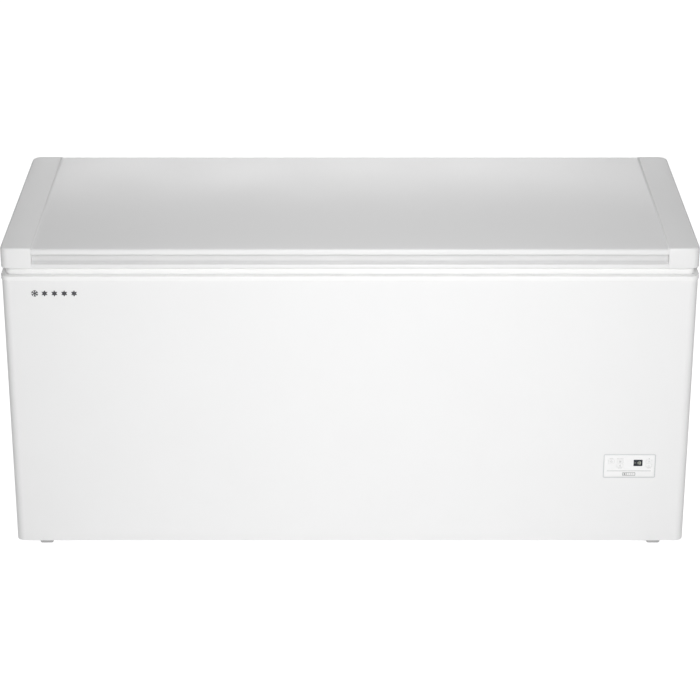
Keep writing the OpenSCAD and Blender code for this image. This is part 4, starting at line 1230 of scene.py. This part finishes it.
@dataclass
class Baskets:
    """Three coated wire baskets that hang on the collar's ledge."""

    thin: float = 1.7 * MM
    thick: float = 3.0 * MM
    corner: float = 18 * MM
    pitch: float = 30 * MM
    hook: float = 20 * MM

    def loop(self, low: Vector, high: Vector, z: float, radius: float) -> bpy.types.Object:
        """Add a wire all round the basket at one height."""
        corners = rounded(low.x + radius, low.y + radius, high.x - radius, high.y - radius,
                          self.corner - radius, 6)
        return wire("loop", [Vector((x, y, z)) for x, y in corners], radius, True)

    def build_one(self, side: str) -> None:
        """Build one basket inside its CAD tray's outer shape."""
        low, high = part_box(f"basket_{side}")
        tray_low = Vector((low.x, low.y + self.hook, low.z))
        tray_high = Vector((high.x, high.y - self.hook, high.z))
        rim_z = high.z - self.thick
        floor_z = low.z + self.thin
        parts = [self.loop(tray_low, tray_high, rim_z, self.thick)]
        for share in (0.0, 0.33, 0.66):
            parts.append(self.loop(tray_low, tray_high, floor_z + self.thin * 2 + share * (rim_z - floor_z),
                                   self.thin))
        inner_x = (tray_low.x + 3 * self.thin, tray_high.x - 3 * self.thin)
        inner_y = (tray_low.y + 3 * self.thin, tray_high.y - 3 * self.thin)
        along = round((inner_x[1] - inner_x[0] - 2 * self.corner) / self.pitch)
        for i in range(along + 1):
            x = inner_x[0] + self.corner + (inner_x[1] - inner_x[0] - 2 * self.corner) * i / along
            route = [Vector((x, inner_y[0], rim_z)), Vector((x, inner_y[0], floor_z)),
                     Vector((x, inner_y[1], floor_z)), Vector((x, inner_y[1], rim_z))]
            parts.append(wire("rib", bent(route, 12 * MM, 4), self.thin, False, 8))
        across = round((inner_y[1] - inner_y[0] - 2 * self.corner) / (self.pitch * 1.6))
        lift = 2 * self.thin
        for i in range(across + 1):
            y = inner_y[0] + self.corner + (inner_y[1] - inner_y[0] - 2 * self.corner) * i / across
            route = [Vector((inner_x[0], y, rim_z)), Vector((inner_x[0], y, floor_z + lift)),
                     Vector((inner_x[1], y, floor_z + lift)), Vector((inner_x[1], y, rim_z))]
            parts.append(wire("rib", bent(route, 12 * MM, 4), self.thin, False, 8))
        for y_rim, y_end in ((tray_low.y + self.thick, low.y + self.thick),
                             (tray_high.y - self.thick, high.y - self.thick)):
            for share in (-0.3, 0.3):
                x = (low.x + high.x) / 2 + share * (high.x - low.x)
                route = [Vector((x - 17 * MM, y_rim, rim_z)), Vector((x - 17 * MM, y_end, rim_z)),
                         Vector((x + 17 * MM, y_end, rim_z)), Vector((x + 17 * MM, y_rim, rim_z))]
                parts.append(wire("hook", bent(route, 8 * MM, 5), self.thick * 0.9))
        basket = Bench.join(f"wire_basket_{side}", parts)
        hand_over(basket, f"basket_{side}", Stock.WIRE, [f"basket_{side}"])

    def build(self) -> None:
        """Build the three baskets."""
        for side in ("left", "middle", "right"):
            self.build_one(side)


@dataclass
class Drain:
    """The drain's tube, spout, cap and inside plug."""

    ribs: int = 16

    def build(self) -> None:
        """Refine the drain's pieces and rib the cap."""
        hand_over(Bench.refined("drain_tube", "drain_hose", 0.0), "cabinet",
                  Stock.DRAIN_WHITE, ["drain_tube"])
        hand_over(Bench.refined("drain_spout", "drain_nozzle", 0.4 * MM, 2), "cabinet",
                  Stock.DRAIN_WHITE, ["drain_spout"])
        hand_over(Bench.refined("drain_plug", "drain_stopper", 0.5 * MM, 3), "drain_plug",
                  Stock.DRAIN_WHITE, ["drain_plug"])
        low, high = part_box("drain_cap")
        middle = (low + high) / 2
        radius = (high.x - low.x) / 2
        parts = [Bench.refined("drain_cap", "drain_lid", 0.4 * MM, 2)]
        for i in range(self.ribs):
            turn = math.tau * i / self.ribs
            rib = Bench.disc("rib", Vector((middle.x + (radius - 0.1 * MM) * math.cos(turn),
                                            middle.y + (radius - 0.1 * MM) * math.sin(turn),
                                            middle.z)), 0.4 * MM, (high.z - low.z) * 0.8, "Z", 8)
            parts.append(rib)
        hand_over(Bench.join("drain_lid", parts), "drain_cap", Stock.DARK_PLASTIC,
                  ["drain_cap"])


# ---------------------------------------------------------------- machinery and hinges


@dataclass
class Machinery:
    """The compressor with its rail, pipes, drier and covers."""

    def build(self) -> None:
        """Refine the machinery behind the rear cover."""
        table = (
            ("compressor", "compressor_can", 1.2 * MM, Stock.BLACK_ENAMEL, "compressor_paint"),
            ("terminal_cover", "relay_cover", 2.0 * MM, Stock.DARK_PLASTIC, "dark_plastic"),
            ("control_box", "board_case", 1.5 * MM, Stock.DARK_PLASTIC, "dark_plastic"),
            ("cord_gland", "cord_bush", 0.8 * MM, Stock.DARK_PLASTIC, "dark_plastic"),
            ("rubber_grommets", "feet_rubbers", 1.5 * MM, Stock.RUBBER, "black_rubber"),
            ("mount_bolts", "feet_bolts", 0.8 * MM, Stock.FASTENER, "zinc_fastener"),
            ("mounting_rail", "feet_rail", 0.8 * MM, Stock.ZINC, "galvanised"),
            ("filter_drier", "drier_shell", 0.4 * MM, Stock.COPPER, "copper_pipe"),
            ("discharge_line", "hot_pipe", 0.0, Stock.COPPER, "copper_pipe"),
            ("suction_line", "cold_pipe", 0.0, Stock.COPPER, "copper_pipe"),
        )
        for node, name, width, stock, slot in table:
            piece = Bench.refined(node, name, width, 3, 40)
            Bench.smooth(piece, 50)
            hand_over(piece, "cabinet", stock, [node])


@dataclass
class Hinges:
    """The two rear hinges with their screws."""

    screw: Screw

    def build(self) -> None:
        """Refine the hinge plates and screw them on."""
        spots_base, spots_lid = [], []
        for side in ("left", "right"):
            hand_over(Bench.refined(f"hinge_base_{side}", f"hinge_plate_{side}", 0.8 * MM, 2), "cabinet",
                      Stock.ZINC, [f"hinge_base_{side}"])
            hand_over(Bench.refined(f"lid_bracket_{side}", f"hinge_arm_{side}", 0.6 * MM, 2), "lid",
                      Stock.ZINC, [f"lid_bracket_{side}"])
            low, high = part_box(f"hinge_base_{side}")
            middle = (low.x + high.x) / 2
            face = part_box("rear_panel")[1].y + 3 * MM
            spots_base += [Vector((middle + dx, face, low.z + dz)) for dx in (-15 * MM, 15 * MM)
                           for dz in (15 * MM, 48 * MM, 82 * MM)]
            low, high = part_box(f"lid_bracket_{side}")
            face = low.y + 3 * MM
            spots_lid += [Vector((middle + dx, face, high.z - 9 * MM)) for dx in (-16 * MM, 16 * MM)]
        hand_over(self.screw.place("hinge_base_screws", spots_base, Face.REAR), "cabinet",
                  Stock.FASTENER)
        hand_over(self.screw.place("hinge_arm_screws", spots_lid, Face.REAR), "lid",
                  Stock.FASTENER)
        hand_over(Bench.refined("hinge_pins", "hinge_axles", 0.8 * MM, 3), "cabinet",
                  Stock.FASTENER, ["hinge_pins"])


# ---------------------------------------------------------------- the whole freezer


def main() -> None:
    """Build the freezer around its frame."""
    logging.basicConfig(level=logging.INFO, format="%(name)s: %(message)s")
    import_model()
    Studio().build()
    dress_frame()
    screw = Screw()
    for part in (Cabinet(screw), Badge(), Lid(screw), ControlPanel(), Castors(), Baskets(), Drain(),
                 Machinery(), Hinges(screw)):
        part.build()
    screw.put_away()
    Bench.clear()


if __name__ == "__main__":
    main()
